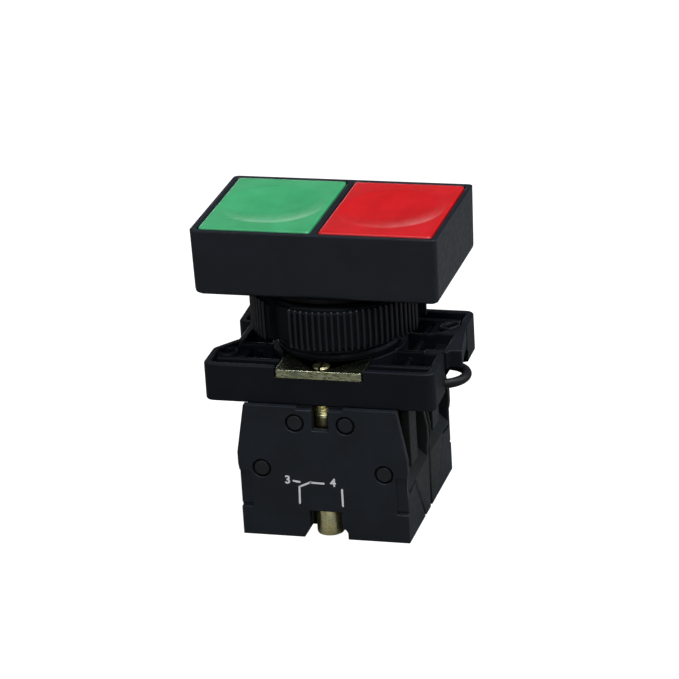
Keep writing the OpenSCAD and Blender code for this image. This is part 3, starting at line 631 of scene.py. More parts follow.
def smooth(obj: bpy.types.Object, angle: float, shade: Shade = Shade.SOFT) -> bpy.types.Object:
    """Smooths the faces and keeps the sharp edges.

    Args:
        obj: The object.
        angle: Edges that turn by more than this many degrees stay sharp.
        shade: Whether large faces keep their own direction.

    Returns:
        The same object.
    """
    mesh = obj.data
    mesh.polygons.foreach_set("use_smooth", [True] * len(mesh.polygons))
    mesh.set_sharp_from_angle(angle=math.radians(angle))
    if shade is Shade.WEIGHTED:
        weight = obj.modifiers.new("even_normals", "WEIGHTED_NORMAL")
        weight.keep_sharp = True
        freeze(obj)
    return obj


def bevelled(obj: bpy.types.Object, width: float, segments: int = 2, angle: float = 38.0) -> bpy.types.Object:
    """Rounds an object's edges.

    Args:
        obj: The object.
        width: Width of the rounding in millimetres.
        segments: Steps across it.
        angle: Smallest turn of an edge that is rounded, in degrees.

    Returns:
        The same object.
    """
    bevel = obj.modifiers.new("soft_edges", "BEVEL")
    bevel.width = width * MM
    bevel.segments = segments
    bevel.limit_method = "ANGLE"
    bevel.angle_limit = math.radians(angle)
    bevel.use_clamp_overlap = False
    bevel.miter_outer = "MITER_ARC"
    freeze(obj)
    return smooth(obj, 50.0, Shade.WEIGHTED)


def carved(node: str, name: str, width: float, segments: int = 2) -> bpy.types.Object:
    """Copies a CAD node, joins its loose triangles and rounds its edges.

    Args:
        node: The CAD node.
        name: Name of the new piece.
        width: Width of the rounding in millimetres.
        segments: Steps across it.

    Returns:
        The new piece.
    """
    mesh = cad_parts[node].data.copy()
    mesh.name = name
    mesh.materials.clear()
    work = bmesh.new()
    work.from_mesh(mesh)
    bmesh.ops.remove_doubles(work, verts=work.verts, dist=2e-6)
    bmesh.ops.dissolve_degenerate(work, edges=work.edges, dist=1e-6)
    bmesh.ops.dissolve_limit(work, angle_limit=math.radians(0.8), verts=work.verts, edges=work.edges)
    work.to_mesh(mesh)
    work.free()
    if mesh.has_custom_normals:
        mesh.normals_split_custom_set([(0.0, 0.0, 0.0)] * len(mesh.loops))
    return bevelled(linked(name, mesh), width, segments)


def cut(obj: bpy.types.Object, *tools: bpy.types.Object) -> bpy.types.Object:
    """Takes other solids out of an object.

    Args:
        obj: The object.
        tools: The solids, which are deleted.

    Returns:
        The same object.
    """
    for tool in tools:
        step = obj.modifiers.new("cut", "BOOLEAN")
        step.operation = "DIFFERENCE"
        step.solver = "EXACT"
        step.object = tool
        freeze(obj)
        bpy.data.objects.remove(tool)
    return obj


def joined(name: str, *parts: bpy.types.Object) -> bpy.types.Object:
    """Puts several objects of one body into one piece.

    Args:
        name: The piece's name.
        parts: The objects, which are used up.

    Returns:
        The piece.
    """
    work = bmesh.new()
    for part in parts:
        work.from_mesh(part.data)
        bpy.data.objects.remove(part)
    mesh = bpy.data.meshes.new(name)
    work.to_mesh(mesh)
    work.free()
    return linked(name, mesh)


def block_at(low: Point, high: Point) -> bpy.types.Object:
    """Makes a plain solid between two corners, as a cutting tool.

    Args:
        low: Lowest corner.
        high: Highest corner.

    Returns:
        The solid.
    """
    shell = Shell()
    outline = ((low[0], low[1]), (high[0], low[1]), (high[0], high[1]), (low[0], high[1]))
    shell.loft([level(outline, z) for z in (low[2], high[2])])
    return shell.build("block")


def cross_slot(screw: bpy.types.Object, centre: Pair, levels: Pair, half: float, reach: float) -> None:
    """Cuts a crossed slot into a screw's end.

    Args:
        screw: The screw.
        centre: Its axis along X and Y.
        levels: Lowest and highest point of the slot.
        half: Half the slot's width.
        reach: Half the slot's length.
    """
    x, y = centre
    low, high = levels
    cut(screw,
        block_at((x - reach, y - half, low), (x + reach, y + half, high)),
        block_at((x - half, y - reach, low), (x + half, y + reach, high)))


@dataclass(frozen=True)
class Thread:
    """Helical thread of a screw.

    Args:
        centre: Its axis along X and Y.
        foot: Height of its lower end.
        tip: Height of its upper end.
        pitch: Rise of one turn.
        root: Radius at the bottom of the groove.
        crest: Outside radius.
        count: Points in each row.
        steps: Number of rows.
    """

    centre: Pair
    foot: float
    tip: float
    pitch: float
    root: float
    crest: float
    count: int
    steps: int

    def rows(self, depth: Callable[[float], float]) -> list[list[Point]]:
        """Gives the rows of points along the thread.

        Args:
            depth: Rule that gives the share of the groove's depth at a height.

        Returns:
            The rows, from the foot to the tip.
        """
        made = []
        for k in range(1, self.steps + 1):
            z = self.foot + (self.tip - self.foot) * k / self.steps
            rise = (self.crest - self.root) * max(0.0, min(1.0, depth(z)))
            made.append(circle(
                lambda i: self.root + rise * abs((z / self.pitch - i / self.count) % 1.0 - 0.5) * 2,
                z, self.count, self.centre))
        return made


def turned(obj: bpy.types.Object, degrees: float) -> bpy.types.Object:
    """Turns a piece's mesh round the part's axis."""
    obj.data.transform(Matrix.Rotation(math.radians(degrees), 4, "Z"))
    return obj


def settle(obj: bpy.types.Object, body: str, node: str | None,
           material: bpy.types.Material) -> bpy.types.Object:
    """Dresses a finished piece and lets it ride on its body.

    Args:
        obj: The piece.
        body: The body that it rides on.
        node: The CAD node that it stands for, or None.
        material: Its material.

    Returns:
        The same piece.
    """
    obj.data.materials.clear()
    obj.data.materials.append(material)
    obj.data.polygons.foreach_set("material_index", [0] * len(obj.data.polygons))
    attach(obj, body)
    if node:
        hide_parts(node)
    LOG.info("%s: %d faces on %s", obj.name, len(obj.data.polygons), body)
    return obj


# Geometry Nodes


@dataclass
class Recipe:
    """A Geometry Nodes tree that is built in code and turned into plain mesh.

    Args:
        name: Name of the tree.
    """

    name: str
    tree: bpy.types.NodeTree = field(init=False)
    start: bpy.types.Node = field(init=False)

    def __post_init__(self) -> None:
        """Makes the empty tree with its geometry output."""
        self.tree = bpy.data.node_groups.new(self.name, "GeometryNodeTree")
        self.tree.interface.new_socket("Geometry", in_out="INPUT", socket_type="NodeSocketGeometry")
        self.tree.interface.new_socket("Geometry", in_out="OUTPUT", socket_type="NodeSocketGeometry")
        self.start = self.tree.nodes.new("NodeGroupInput")

    def ask(self, name: str, kind: str = "NodeSocketFloat") -> None:
        """Adds a named input."""
        self.tree.interface.new_socket(name, in_out="INPUT", socket_type=kind)

    def given(self, name: str) -> bpy.types.NodeSocket:
        """Gives a named input's socket inside the tree."""
        return self.start.outputs[name]

    def step(self, kind: str, values: dict[str | int, object] | None = None,
             **settings: object) -> bpy.types.Node:
        """Adds a node to the tree."""
        return add_node(self.tree, kind, values, **settings)

    def sum(self, operation: str, a: object, b: object = 0.0) -> bpy.types.NodeSocket:
        """Adds one Math node."""
        return self.step("ShaderNodeMath", {0: a, 1: b}, operation=operation).outputs[0]

    def run(self, result: bpy.types.NodeSocket, name: str, values: dict[str, object],
            material: bpy.types.Material) -> bpy.types.Object:
        """Ends the tree, runs it once and keeps the plain mesh.

        Args:
            result: The geometry made.
            name: Name of the piece.
            values: Value of each named input.
            material: The piece's material.

        Returns:
            The piece.
        """
        real = self.step("GeometryNodeRealizeInstances", {0: result})
        dressed = self.step("GeometryNodeSetMaterial", {"Geometry": real.outputs[0], "Material": material})
        self.step("NodeGroupOutput", {0: dressed.outputs[0]})
        obj = linked(name, bpy.data.meshes.new(name))
        modifier = obj.modifiers.new(self.name, "NODES")
        modifier.node_group = self.tree
        for item in self.tree.interface.items_tree:
            if item.item_type == "SOCKET" and item.in_out == "INPUT" and item.name in values:
                modifier[item.identifier] = values[item.name]
        return freeze(obj)


@dataclass(frozen=True)
class CoilSpring:
    """Compression spring of round wire with closed ends, on an upright axis.

    Args:
        name: Name of the piece.
        centre: Axis along X and Y.
        foot: Height of its lower end.
        length: Length at rest.
        radius: Radius to the middle of the wire.
        wire: Diameter of the wire.
        turns: Number of turns.
        closed: Share of the wire that lies flat at each end.
    """

    name: str
    centre: Pair
    foot: float
    length: float
    radius: float
    wire: float
    turns: float
    closed: float = 0.09

    def make(self, material: bpy.types.Material) -> bpy.types.Object:
        """Winds the spring along a rule for each point of the wire.

        Args:
            material: The wire's material.

        Returns:
            The spring's object.
        """
        r = Recipe(f"{self.name}_winding")
        for name in ("Radius", "Wire", "Length", "Turns", "Closed"):
            r.ask(name)
        count = int(self.turns * 30)
        across, along = self.centre
        line = r.step("GeometryNodeMeshLine", {"Count": count + 1})
        share = r.sum("DIVIDE", r.step("GeometryNodeInputIndex").outputs[0], float(count))
        angle = r.sum("MULTIPLY", r.sum("MULTIPLY", share, r.given("Turns")), TAU)
        open_share = r.sum("SUBTRACT", 1.0, r.sum("MULTIPLY", r.given("Closed"), 2.0))
        rise = r.step("ShaderNodeClamp", {
            "Value": r.sum("DIVIDE", r.sum("SUBTRACT", share, r.given("Closed")), open_share)}).outputs[0]
        gap = r.sum("SUBTRACT", r.given("Length"), r.given("Wire"))
        height = r.sum("ADD", r.sum("MULTIPLY", rise, gap), r.sum("MULTIPLY", r.given("Wire"), 0.5))
        x, y = (r.sum("ADD", r.sum("MULTIPLY", r.sum(wave, angle), r.given("Radius")), middle * MM)
                for wave, middle in (("COSINE", across), ("SINE", along)))
        place = r.step("ShaderNodeCombineXYZ", {"X": x, "Y": y, "Z": r.sum("ADD", height, self.foot * MM)})
        put = r.step("GeometryNodeSetPosition", {"Geometry": line.outputs[0], "Position": place.outputs[0]})
        path = r.step("GeometryNodeMeshToCurve", {"Mesh": put.outputs[0]})
        wire = r.step("GeometryNodeCurvePrimitiveCircle", {
            "Resolution": 10, "Radius": r.sum("MULTIPLY", r.given("Wire"), 0.5)})
        skin = r.step("GeometryNodeCurveToMesh", {
            "Curve": path.outputs[0], "Profile Curve": wire.outputs[0], "Fill Caps": True})
        sizes = {"Radius": self.radius * MM, "Wire": self.wire * MM, "Length": self.length * MM,
                 "Turns": float(self.turns), "Closed": self.closed}
        return smooth(r.run(skin.outputs[0], self.name, sizes, material), 60.0)


# The head


@dataclass
class Head:
    """Bezel, the two caps, their pushers and return springs.

    Args:
        width: Length of the bezel.
        depth: Depth of the bezel.
        height: Height of the bezel.
        wall: Thickness of its wall.
        divider: Thickness of the divider.
        corner: Radius of its upright corners.
        rim: Radius of its rounded rim.
        draft: How far each side leans in at the foot.
        well_floor: Height of the wells' floor.
        well_corner: Radius of the wells' corners.
        cap_top: Height of the cap tops.
        cap_gap: Gap round a cap.
        cap_wall: Thickness of a cap's wall.
        cap_corner: Radius of a cap's upright corners.
        cap_fillet: Radius of a cap's upper edge.
        skirt: Length of a cap's skirt.
        dish_radius: Radius of the dish.
        dish_depth: Depth of the dish.
        dish_edge: Half the width of the dish's soft edge.
        pegs: Places along Y of the pegs under a cap.
        peg_radius: Their radius.
        rod: Place of the green pusher's rod.
        rod_room: Radius of the room for the rod and its spring under a cap.
        spring_foot: Height of the return springs' lower end.
        spring_length: Their length at rest.
    """

    width: float = 43.2
    depth: float = 27.8
    height: float = 11.7
    wall: float = 1.0
    divider: float = 1.1
    corner: float = 0.9
    rim: float = 0.28
    draft: float = 0.2
    well_floor: float = 2.05
    well_corner: float = 0.75
    cap_top: float = 11.85
    cap_gap: float = 0.25
    cap_wall: float = 1.2
    cap_corner: float = 0.5
    cap_fillet: float = 0.38
    skirt: float = 5.6
    dish_radius: float = 9.1
    dish_depth: float = 0.9
    dish_edge: float = 0.4
    pegs: Pair = (-4.6, 3.2)
    peg_radius: float = 1.5
    rod: Pair = (-3.6, -4.6)
    rod_room: float = 2.75
    spring_foot: float = -10.95
    spring_length: float = 18.05

    def well_size(self) -> Pair:
        """Gives a well's width and depth."""
        return (self.width - 2 * self.wall - self.divider) / 2, self.depth - 2 * self.wall

    def cap_size(self) -> Pair:
        """Gives a cap's width and depth."""
        return self.well_size()[0] - 2 * self.cap_gap, self.well_size()[1] - 2 * self.cap_gap

    def well_centre(self) -> float:
        """Gives a well's distance from the middle."""
        return (self.divider + self.well_size()[0]) / 2

    def bezel(self, material: bpy.types.Material) -> bpy.types.Object:
        """Makes the bezel as a frame with two wells, rounded on every edge.

        Args:
            material: The bezel's plastic.

        Returns:
            The piece.
        """
        shell = Shell()
        rows = []
        levels = [(0.0, self.draft + 0.75), (0.08, self.draft + 0.5), (0.28, self.draft + 0.22),
                  (0.6, self.draft + 0.06), (1.1, self.draft), (self.height - 0.02, 0.0)]
        for z, inset in levels:
            outline = rounded_outline(self.width - 2 * inset, self.depth - 2 * inset,
                                      max(0.35, self.corner - inset * 0.2), 8, 12)
            rows.append(level(outline, z))
        rows.append(level(rounded_outline(self.width, self.depth, self.corner, 8, 12), self.height))
        shell.loft(rows)
        body = shell.build("bezel_form")
        well_w, well_d = self.well_size()
        centre, above, below = self.well_centre(), (self.well_floor, 14.0), (-1.0, self.well_floor)
        tools = []
        for across, width, heights in ((-centre, well_w, above), (centre, well_w, above),
                                       (0.0, self.width - 2 * self.wall, below)):
            room = Shell()
            outline = rounded_outline(width, well_d, self.well_corner, 8, 1)
            room.loft([level(outline, z, across) for z in heights])
            tools.append(room.build("well_tool"))
        cut(body, *tools)
        body.name = "bezel_frame"
        return settle(bevelled(body, self.rim, 3, 45.0), "switch_body", "bezel", material)

    def dish_height(self, r: float) -> float:
        """Gives the depth of the cap's top at a distance from the dish's middle.

        Args:
            r: The distance.

        Returns:
            The depth below the flat top.
        """
        bowl = (self.dish_radius ** 2 + self.dish_depth ** 2) / (2 * self.dish_depth)
        inner = self.dish_radius - self.dish_edge
        reach = min(r, inner)
        depth = self.dish_depth - (bowl - math.sqrt(bowl * bowl - reach * reach))
        fade = min(1.0, (r - reach) / (2 * self.dish_edge * 0.85))
        return depth * (1 - fade) ** 2

    def cap(self, which: Press, material: bpy.types.Material) -> bpy.types.Object:
        """Makes a button cap: a hollow shell with a round dish that reaches its sides.

        Args:
            which: The button.
            material: Its plastic.

        Returns:
            The piece.
        """
        bottom = self.cap_top - self.skirt
        inner_top = self.cap_top - self.dish_depth - self.cap_wall
        outline = rounded_outline(*self.cap_size(), self.cap_corner, 5, 26)
        count = len(outline)
        across, round_edge = 30, 4
        rows = [[self.top_point(x, y, k / across) for x, y in outline] for k in range(1, across + 1)]
        for k in range(1, round_edge + 1):
            a = math.radians(90 * k / round_edge)
            inset = self.cap_fillet * (1 - math.sin(a))
            drop = self.cap_fillet * (1 - math.cos(a))
            row = []
            for x, y in outline:
                px, py = self.shrunk(x, y, inset)
                sag = self.dish_height(math.hypot(px, py)) * 0.6 * math.cos(a)
                row.append((px, py, self.cap_top - drop - sag))
            rows.append(row)
        for inset, z in ((0.0, bottom + 0.15), (0.12, bottom), (self.cap_wall - 0.1, bottom),
                         (self.cap_wall, bottom + 0.1), (self.cap_wall, inner_top)):
            rows.append([(*self.shrunk(x, y, inset), z) for x, y in outline])
        shell = Shell()
        middle = shell.ring([(0.0, 0.0, self.cap_top - self.dish_depth)])[0]
        rings = [shell.ring(row) for row in rows]
        for i in range(count):
            shell.faces.append((middle, rings[0][i], rings[0][(i + 1) % count]))
        for a, b in zip(rings, rings[1:]):
            shell.bridge(a, b)
        shell.faces.append(tuple(rings[-1]))
        for y in self.pegs:
            shell.lathe([(self.peg_radius, z) for z in (self.cap_top - 4.4, inner_top + 0.3)], 24, (0.0, y))
        name, turn = which.value
        piece = shell.build(f"{name}_cap")
        room = Shell()
        room.lathe([(self.rod_room, bottom - 0.5), (self.rod_room, self.cap_top - 4.6)], 32,
                   (self.rod[0] + self.well_centre(), self.rod[1]))
        cut(piece, room.build("notch_tool"))
        smooth(piece, 40.0)
        piece.data.transform(Matrix.Translation((-self.well_centre() * MM, 0, 0)))
        turned(piece, turn)
        return settle(piece, f"{name}_press", f"{name}_button", material)

    def shrunk(self, x: float, y: float, inset: float) -> Pair:
        """Moves a point of a cap's outline towards the middle."""
        w, d = self.cap_size()
        return x * (w - 2 * inset) / w, y * (d - 2 * inset) / d

    def top_point(self, x: float, y: float, share: float) -> Point:
        """Gives a point of the cap's top between its middle and its rounded edge.

        Args:
            x: Outline point along X.
            y: Outline point along Y.
            share: 0 at the middle, 1 at the edge.

        Returns:
            The point.
        """
        px, py = self.shrunk(x, y, self.cap_fillet)
        reach = math.hypot(px, py)
        rim = min(self.dish_radius + 0.35, reach)
        in_dish = 0.8
        if share <= in_dish:
            s = (share / in_dish) ** 0.8 * rim / reach
        else:
            s = (rim + (reach - rim) * (share - in_dish) / (1 - in_dish)) / reach
        qx, qy = px * s, py * s
        return qx, qy, self.cap_top - self.dish_height(math.hypot(qx, qy))

    def dress(self, plastics: dict[str, bpy.types.Material]) -> None:
        """Builds every piece of the head.

        Args:
            plastics: The head's materials by name.
        """
        self.bezel(plastics["bezel"])
        for which in Press:
            name, turn = which.value
            self.cap(which, plastics[name])
            pusher = carved(f"{name}_pusher", f"{name}_push_arm", 0.18)
            settle(pusher, f"{name}_press", f"{name}_pusher", plastics["natural"])
            spring = CoilSpring(f"{name}_head_spring", self.rod, self.spring_foot, self.spring_length,
                                radius=2.25, wire=0.6, turns=9)
            coil = turned(spring.make(plastics["wire"]), turn)
            settle(coil, "switch_body", f"{name}_return_spring", plastics["wire"])
            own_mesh(coil)


# Neck, gasket and ring nut


@dataclass
class Neck:
    """Threaded neck of the operator body with its gasket.

    Args:
        radius: Outside radius of the thread.
        pitch: Pitch of the thread.
        groove: Depth of the thread.
        wall: Thickness of the threaded ring, half of it sunk in the neck.
        top: Height where the thread starts.
        bottom: Height where it ends.
    """

    radius: float = 10.9
    pitch: float = 1.5
    groove: float = 0.38
    wall: float = 0.9
    top: float = -0.3
    bottom: float = -11.9

    def thread(self, z: float, turn: float) -> float:
        """Gives the thread's radius at one point.

        Args:
            z: Height.
            turn: Share of a turn round the axis.

        Returns:
            The radius.
        """
        t = (z / self.pitch - turn) % 1.0
        wave = max(0.0, min(1.0, (abs(t - 0.5) * 2 - 0.2) / 0.6))
        ends = min(1.0, (self.top - z) / 0.5, (z - self.bottom) / 0.5)
        return self.radius - self.groove * (1 - wave) * max(0.0, ends)

    def dress(self, body: bpy.types.Material, rubber: bpy.types.Material) -> None:
        """Builds the operator body, its thread and the gasket.

        Args:
            body: The body's plastic.
            rubber: The gasket's rubber.
        """
        form = carved("operator_body", "operator_core", 0.15)
        work = bmesh.new()
        work.from_mesh(form.data)
        inside, outside = (self.radius - 0.02) * MM, (self.radius + 0.1) * MM
        foot, head, slope = (self.bottom - 0.6) * MM, (self.top + 0.5) * MM, 0.3
        skin = [f for f in work.faces
                if all(v.co.xy.length > inside for v in f.verts) and abs(f.normal.z) < slope
                and foot < f.calc_center_median().z < head and f.calc_center_median().xy.length < outside]
        heights = [v.co.z / MM for f in skin for v in f.verts]
        low_z, top_z = min(heights), max(heights)
        work.free()
        steps, count = int((top_z - low_z) / self.pitch * 8), 96
        rows = []
        for k in range(steps + 1):
            z = low_z + (top_z - low_z) * k / steps
            rows.append(circle(lambda i: self.thread(z, i / count), z, count))
        rows += [circle(self.radius - self.wall, z, count) for z in (top_z, low_z)]
        shell = Shell()
        shell.loop(rows)
        thread = smooth(shell.build("neck_thread"), 50.0)
        ring = Shell()
        low, high = low_z + 0.15, top_z - 0.15
        inner, outer = self.radius - self.wall / 2, self.radius + 0.4
        ring.lathe([(inner, low), (outer, low), (outer, high), (inner, high)], count, closed=True)
        cut(form, ring.build("thread_room"))
        smooth(form, 40.0)
        settle(joined("operator_base", form, thread), "switch_body", "operator_body", body)
        seal = Shell()
        bulge = [(11.1, -0.95), (11.25, -1.0), (13.1, -1.0), (13.33, -0.88), (13.4, -0.55),
                 (13.33, -0.18), (13.1, -0.02), (11.25, -0.02), (11.1, -0.1)]
        seal.lathe(bulge, count, closed=True)
        ring_piece = smooth(seal.build("panel_seal"), 50.0)
        settle(ring_piece, "switch_body", "panel_gasket", rubber)


@dataclass
class RingNut:
    """Ribbed ring nut with wrench recesses.

    Args:
        radius: Radius over the ribs.
        rib_height: Height of a rib.
        rib_width: Width of a rib.
        ribs: Ribs that would fill the whole ring.
        top: Height of its upper face.
        height: Height of the nut.
        bore: Radius of its bore.
        recesses: Number of wrench recesses.
        recess_angle: Angle of one recess.
        recess_depth: Depth of a recess.
        first_recess: Angle of the first recess.
    """

    radius: float = 15.3
    rib_height: float = 0.45
    rib_width: float = 0.56
    ribs: int = 87
    top: float = -1.65
    height: float = 7.2
    bore: float = 10.95
    recesses: int = 3
    recess_angle: float = 17.5
    recess_depth: float = 1.6
    first_recess: float = 2.0

    def edge_radius(self, degrees: float) -> float:
        """Gives the core's radius in one direction.

        Args:
            degrees: The direction.

        Returns:
            The radius.
        """
        spacing = 360 / self.recesses
        off = abs((degrees - self.first_recess + spacing / 2) % spacing - spacing / 2)
        inside = off - self.recess_angle / 2
        core = self.radius - self.rib_height
        slope = max(0.0, min(1.0, (inside + 0.15) / 0.3))
        return self.radius - self.recess_depth + (core - self.radius + self.recess_depth) * slope

    def core(self) -> bpy.types.Object:
        """Makes the nut's ring with its recesses and softened ends."""
        count = 720
        low = self.top - self.height
        steps = ((0.0, 0.7), (0.04, 0.64), (0.5, 0.6), (0.56, 0.1), (0.64, 0.0))
        outer = [(low + rise, inset) for rise, inset in steps]
        outer += [(self.top - rise, inset) for rise, inset in reversed(steps)]
        inner = [(self.top, 0.25), (self.top - 0.3, 0.0), (low + 0.3, 0.0), (low, 0.25)]
        rows = [circle(lambda i: self.edge_radius(i / count * 360) - inset, z, count) for z, inset in outer]
        rows += [circle(self.bore + flare, z, count) for z, flare in inner]
        shell = Shell()
        shell.loop(rows)
        return smooth(shell.build("nut_core"), 40.0)

    def teeth(self, material: bpy.types.Material) -> bpy.types.Object:
        """Sets the ribs round the ring and leaves the recesses free.

        Args:
            material: The nut's plastic.

        Returns:
            The ribs.
        """
        r = Recipe("nut_ribs")
        r.ask("Ribs", "NodeSocketInt")
        for name in ("Radius", "Rib Width", "Rib Length", "Middle", "Recess Spacing", "Recess Half Angle",
                     "First Recess"):
            r.ask(name)
        ring = r.step("GeometryNodeMeshCircle", {"Vertices": r.given("Ribs"), "Radius": r.given("Radius")})
        index = r.step("GeometryNodeInputIndex").outputs[0]
        turn = r.sum("DIVIDE", r.sum("MULTIPLY", index, 360.0), r.given("Ribs"))
        half = r.sum("MULTIPLY", r.given("Recess Spacing"), 0.5)
        shifted = r.sum("ADD", r.sum("SUBTRACT", turn, r.given("First Recess")), r.sum("ADD", half, 720.0))
        wrapped = r.sum("FLOORED_MODULO", shifted, r.given("Recess Spacing"))
        off = r.sum("ABSOLUTE", r.sum("SUBTRACT", wrapped, half))
        hidden = r.sum("LESS_THAN", off, r.given("Recess Half Angle"))
        kept = r.step("GeometryNodeDeleteGeometry", {"Geometry": ring.outputs[0], "Selection": hidden})
        count, bend = 11, 3
        stem = r.step("GeometryNodeMeshLine", {"Count": count})
        share = r.sum("DIVIDE", index, float(count - 1))
        half_width = r.sum("MULTIPLY", r.given("Rib Width"), 0.5)
        turns = [
            r.sum("MULTIPLY", r.sum("MINIMUM", r.sum("MULTIPLY", near, (count - 1) / bend), 1.0), math.pi / 2)
            for near in (share, r.sum("SUBTRACT", 1.0, share))
        ]
        low, high = (
            r.sum("MULTIPLY", half_width, r.sum("SUBTRACT", 1.0, r.sum("COSINE", turn))) for turn in turns
        )
        middle = r.step("ShaderNodeClamp", {"Value": r.sum(
            "DIVIDE", r.sum("SUBTRACT", index, float(bend)), float(count - 1 - 2 * bend))}).outputs[0]
        straight = r.sum("MULTIPLY", r.sum("SUBTRACT", r.given("Rib Length"), r.given("Rib Width")), middle)
        height = r.sum("ADD", r.sum("ADD", low, straight), r.sum("SUBTRACT", half_width, high))
        upright = r.step("ShaderNodeCombineXYZ", {"Z": height})
        placed = r.step("GeometryNodeSetPosition", {
            "Geometry": stem.outputs[0], "Position": upright.outputs[0]})
        line = r.step("GeometryNodeMeshToCurve", {"Mesh": placed.outputs[0]})
        thin = r.sum("MINIMUM", r.sum("SINE", turns[0]), r.sum("SINE", turns[1]))
        swell = r.sum("MAXIMUM", thin, 0.12)
        sized = r.step("GeometryNodeSetCurveRadius", {"Curve": line.outputs[0], "Radius": swell})
        profile = r.step("GeometryNodeCurvePrimitiveCircle", {"Resolution": 10, "Radius": half_width})
        rib = r.step("GeometryNodeCurveToMesh", {
            "Curve": sized.outputs[0], "Profile Curve": profile.outputs[0], "Fill Caps": True})
        if "Scale" in rib.inputs:
            r.tree.links.new(swell, rib.inputs["Scale"])
        foot = r.sum("SUBTRACT", r.given("Middle"), r.sum("MULTIPLY", r.given("Rib Length"), 0.5))
        down = r.step("ShaderNodeCombineXYZ", {"Z": foot})
        set_off = r.step("GeometryNodeTransform", {
            "Geometry": rib.outputs[0], "Translation": down.outputs[0]})
        set_out = r.step("GeometryNodeInstanceOnPoints", {
            "Points": kept.outputs[0], "Instance": set_off.outputs[0]})
        values = {"Ribs": self.ribs, "Radius": (self.radius - self.rib_width / 2) * MM,
                  "Rib Width": self.rib_width * MM,
                  "Rib Length": (self.height - 0.1) * MM, "Middle": (self.top - self.height / 2) * MM,
                  "Recess Spacing": 360.0 / self.recesses, "Recess Half Angle": self.recess_angle / 2 + 1.6,
                  "First Recess": self.first_recess}
        return smooth(r.run(set_out.outputs[0], "nut_rib_set", values, material), 60.0)

    def dress(self, core: bpy.types.Material, ribs: bpy.types.Material) -> None:
        """Builds the whole nut; its core takes a darker material than its ribs, as painted shade in the
        valleys and recesses.
        """
        settle(self.core(), "ring_nut", "ring_nut", core)
        settle(self.teeth(ribs), "ring_nut", None, ribs)


# Collar


@dataclass
class Collar:
    """Collar, lever, nut plates and the two long fixing screws.

    Args:
        screw_y: Distance of the screws from the middle.
        screw_radius: Outside radius of the thread.
        root_radius: Radius of the plain shank and of the thread's groove.
        screw_pitch: Pitch of the thread.
        screw_tip: Height of the screw's end.
        thread_foot: Height where the thread starts.
        head_foot: Height of the head's lower face.
        head_top: Height of the head's upper face.
        head_radius: Radius of the head.
    """

    screw_y: float = 12.6
    screw_radius: float = 1.75
    root_radius: float = 1.4
    screw_pitch: float = 0.6
    screw_tip: float = -12.5
    thread_foot: float = -21.8
    head_foot: float = BLOCK_FOOT_Z + 0.05
    head_top: float = BLOCK_FOOT_Z + 5.7
    head_radius: float = 2.4

    def screw(self, side: Side, material: bpy.types.Material) -> bpy.types.Object:
        """Makes a fixing screw with a real helical thread and crossed slots at both ends.

        Args:
            side: Which block it holds.
            material: Its plated steel.

        Returns:
            The piece.
        """
        count, axis = 36, (0.0, -self.screw_y)
        head, foot, top = self.head_radius, self.head_foot, self.head_top
        profile = ((head - 0.35, foot), (head - 0.08, foot + 0.12), (head, foot + 0.4), (head, top - 0.25),
                   (head - 0.25, top), (self.root_radius, top + 0.01), (self.root_radius, self.thread_foot))
        rows = [circle(r, z, count, axis) for r, z in profile]
        steps = int((self.screw_tip - self.thread_foot) / self.screw_pitch * 8)
        thread = Thread(axis, self.thread_foot, self.screw_tip, self.screw_pitch,
                        root=self.root_radius, crest=self.screw_radius, count=count, steps=steps)
        rows += thread.rows(lambda z: min((self.screw_tip - z) / 0.5 + 0.25, (z - self.thread_foot) / 0.6))
        for r, rise in ((1.42, 0.05), (1.32, 0.14), (1.15, 0.19), (0.95, 0.17), (0.7, 0.1), (0.4, 0.04)):
            rows.append(circle(r, self.screw_tip + rise, count, axis))
        shell = Shell()
        shell.loft(rows)
        piece = shell.build(f"{side.value}_long_screw")
        cross_slot(piece, axis, (foot - 1.0, foot + 1.0), half=0.42, reach=1.65)
        cross_slot(piece, axis, (self.screw_tip - 0.5, self.screw_tip + 0.5), half=0.2, reach=3.0)
        smooth(piece, 45.0)
        turned(piece, side.turn)
        return settle(piece, "switch_body", f"{side.value}_fixing_screw", material)

    def dress(self, kit: dict[str, bpy.types.Material]) -> None:
        """Builds the collar and all that it carries.

        Args:
            kit: The materials by short name.
        """
        tray = carved("mounting_collar", "collar_tray", 0.28, 3)
        settle(tray, "switch_body", "mounting_collar", kit["body"])
        latch = carved("lock_lever", "latch_lever", 0.12)
        settle(latch, "lock_lever", "lock_lever", kit["lever"])
        for side in Side:
            piece = carved(f"{side.value}_nut_plate", f"{side.value}_tapped_plate", 0.16)
            settle(piece, "switch_body", f"{side.value}_nut_plate", kit["plate"])
            self.screw(side, kit["screw"])


# Contact blocks


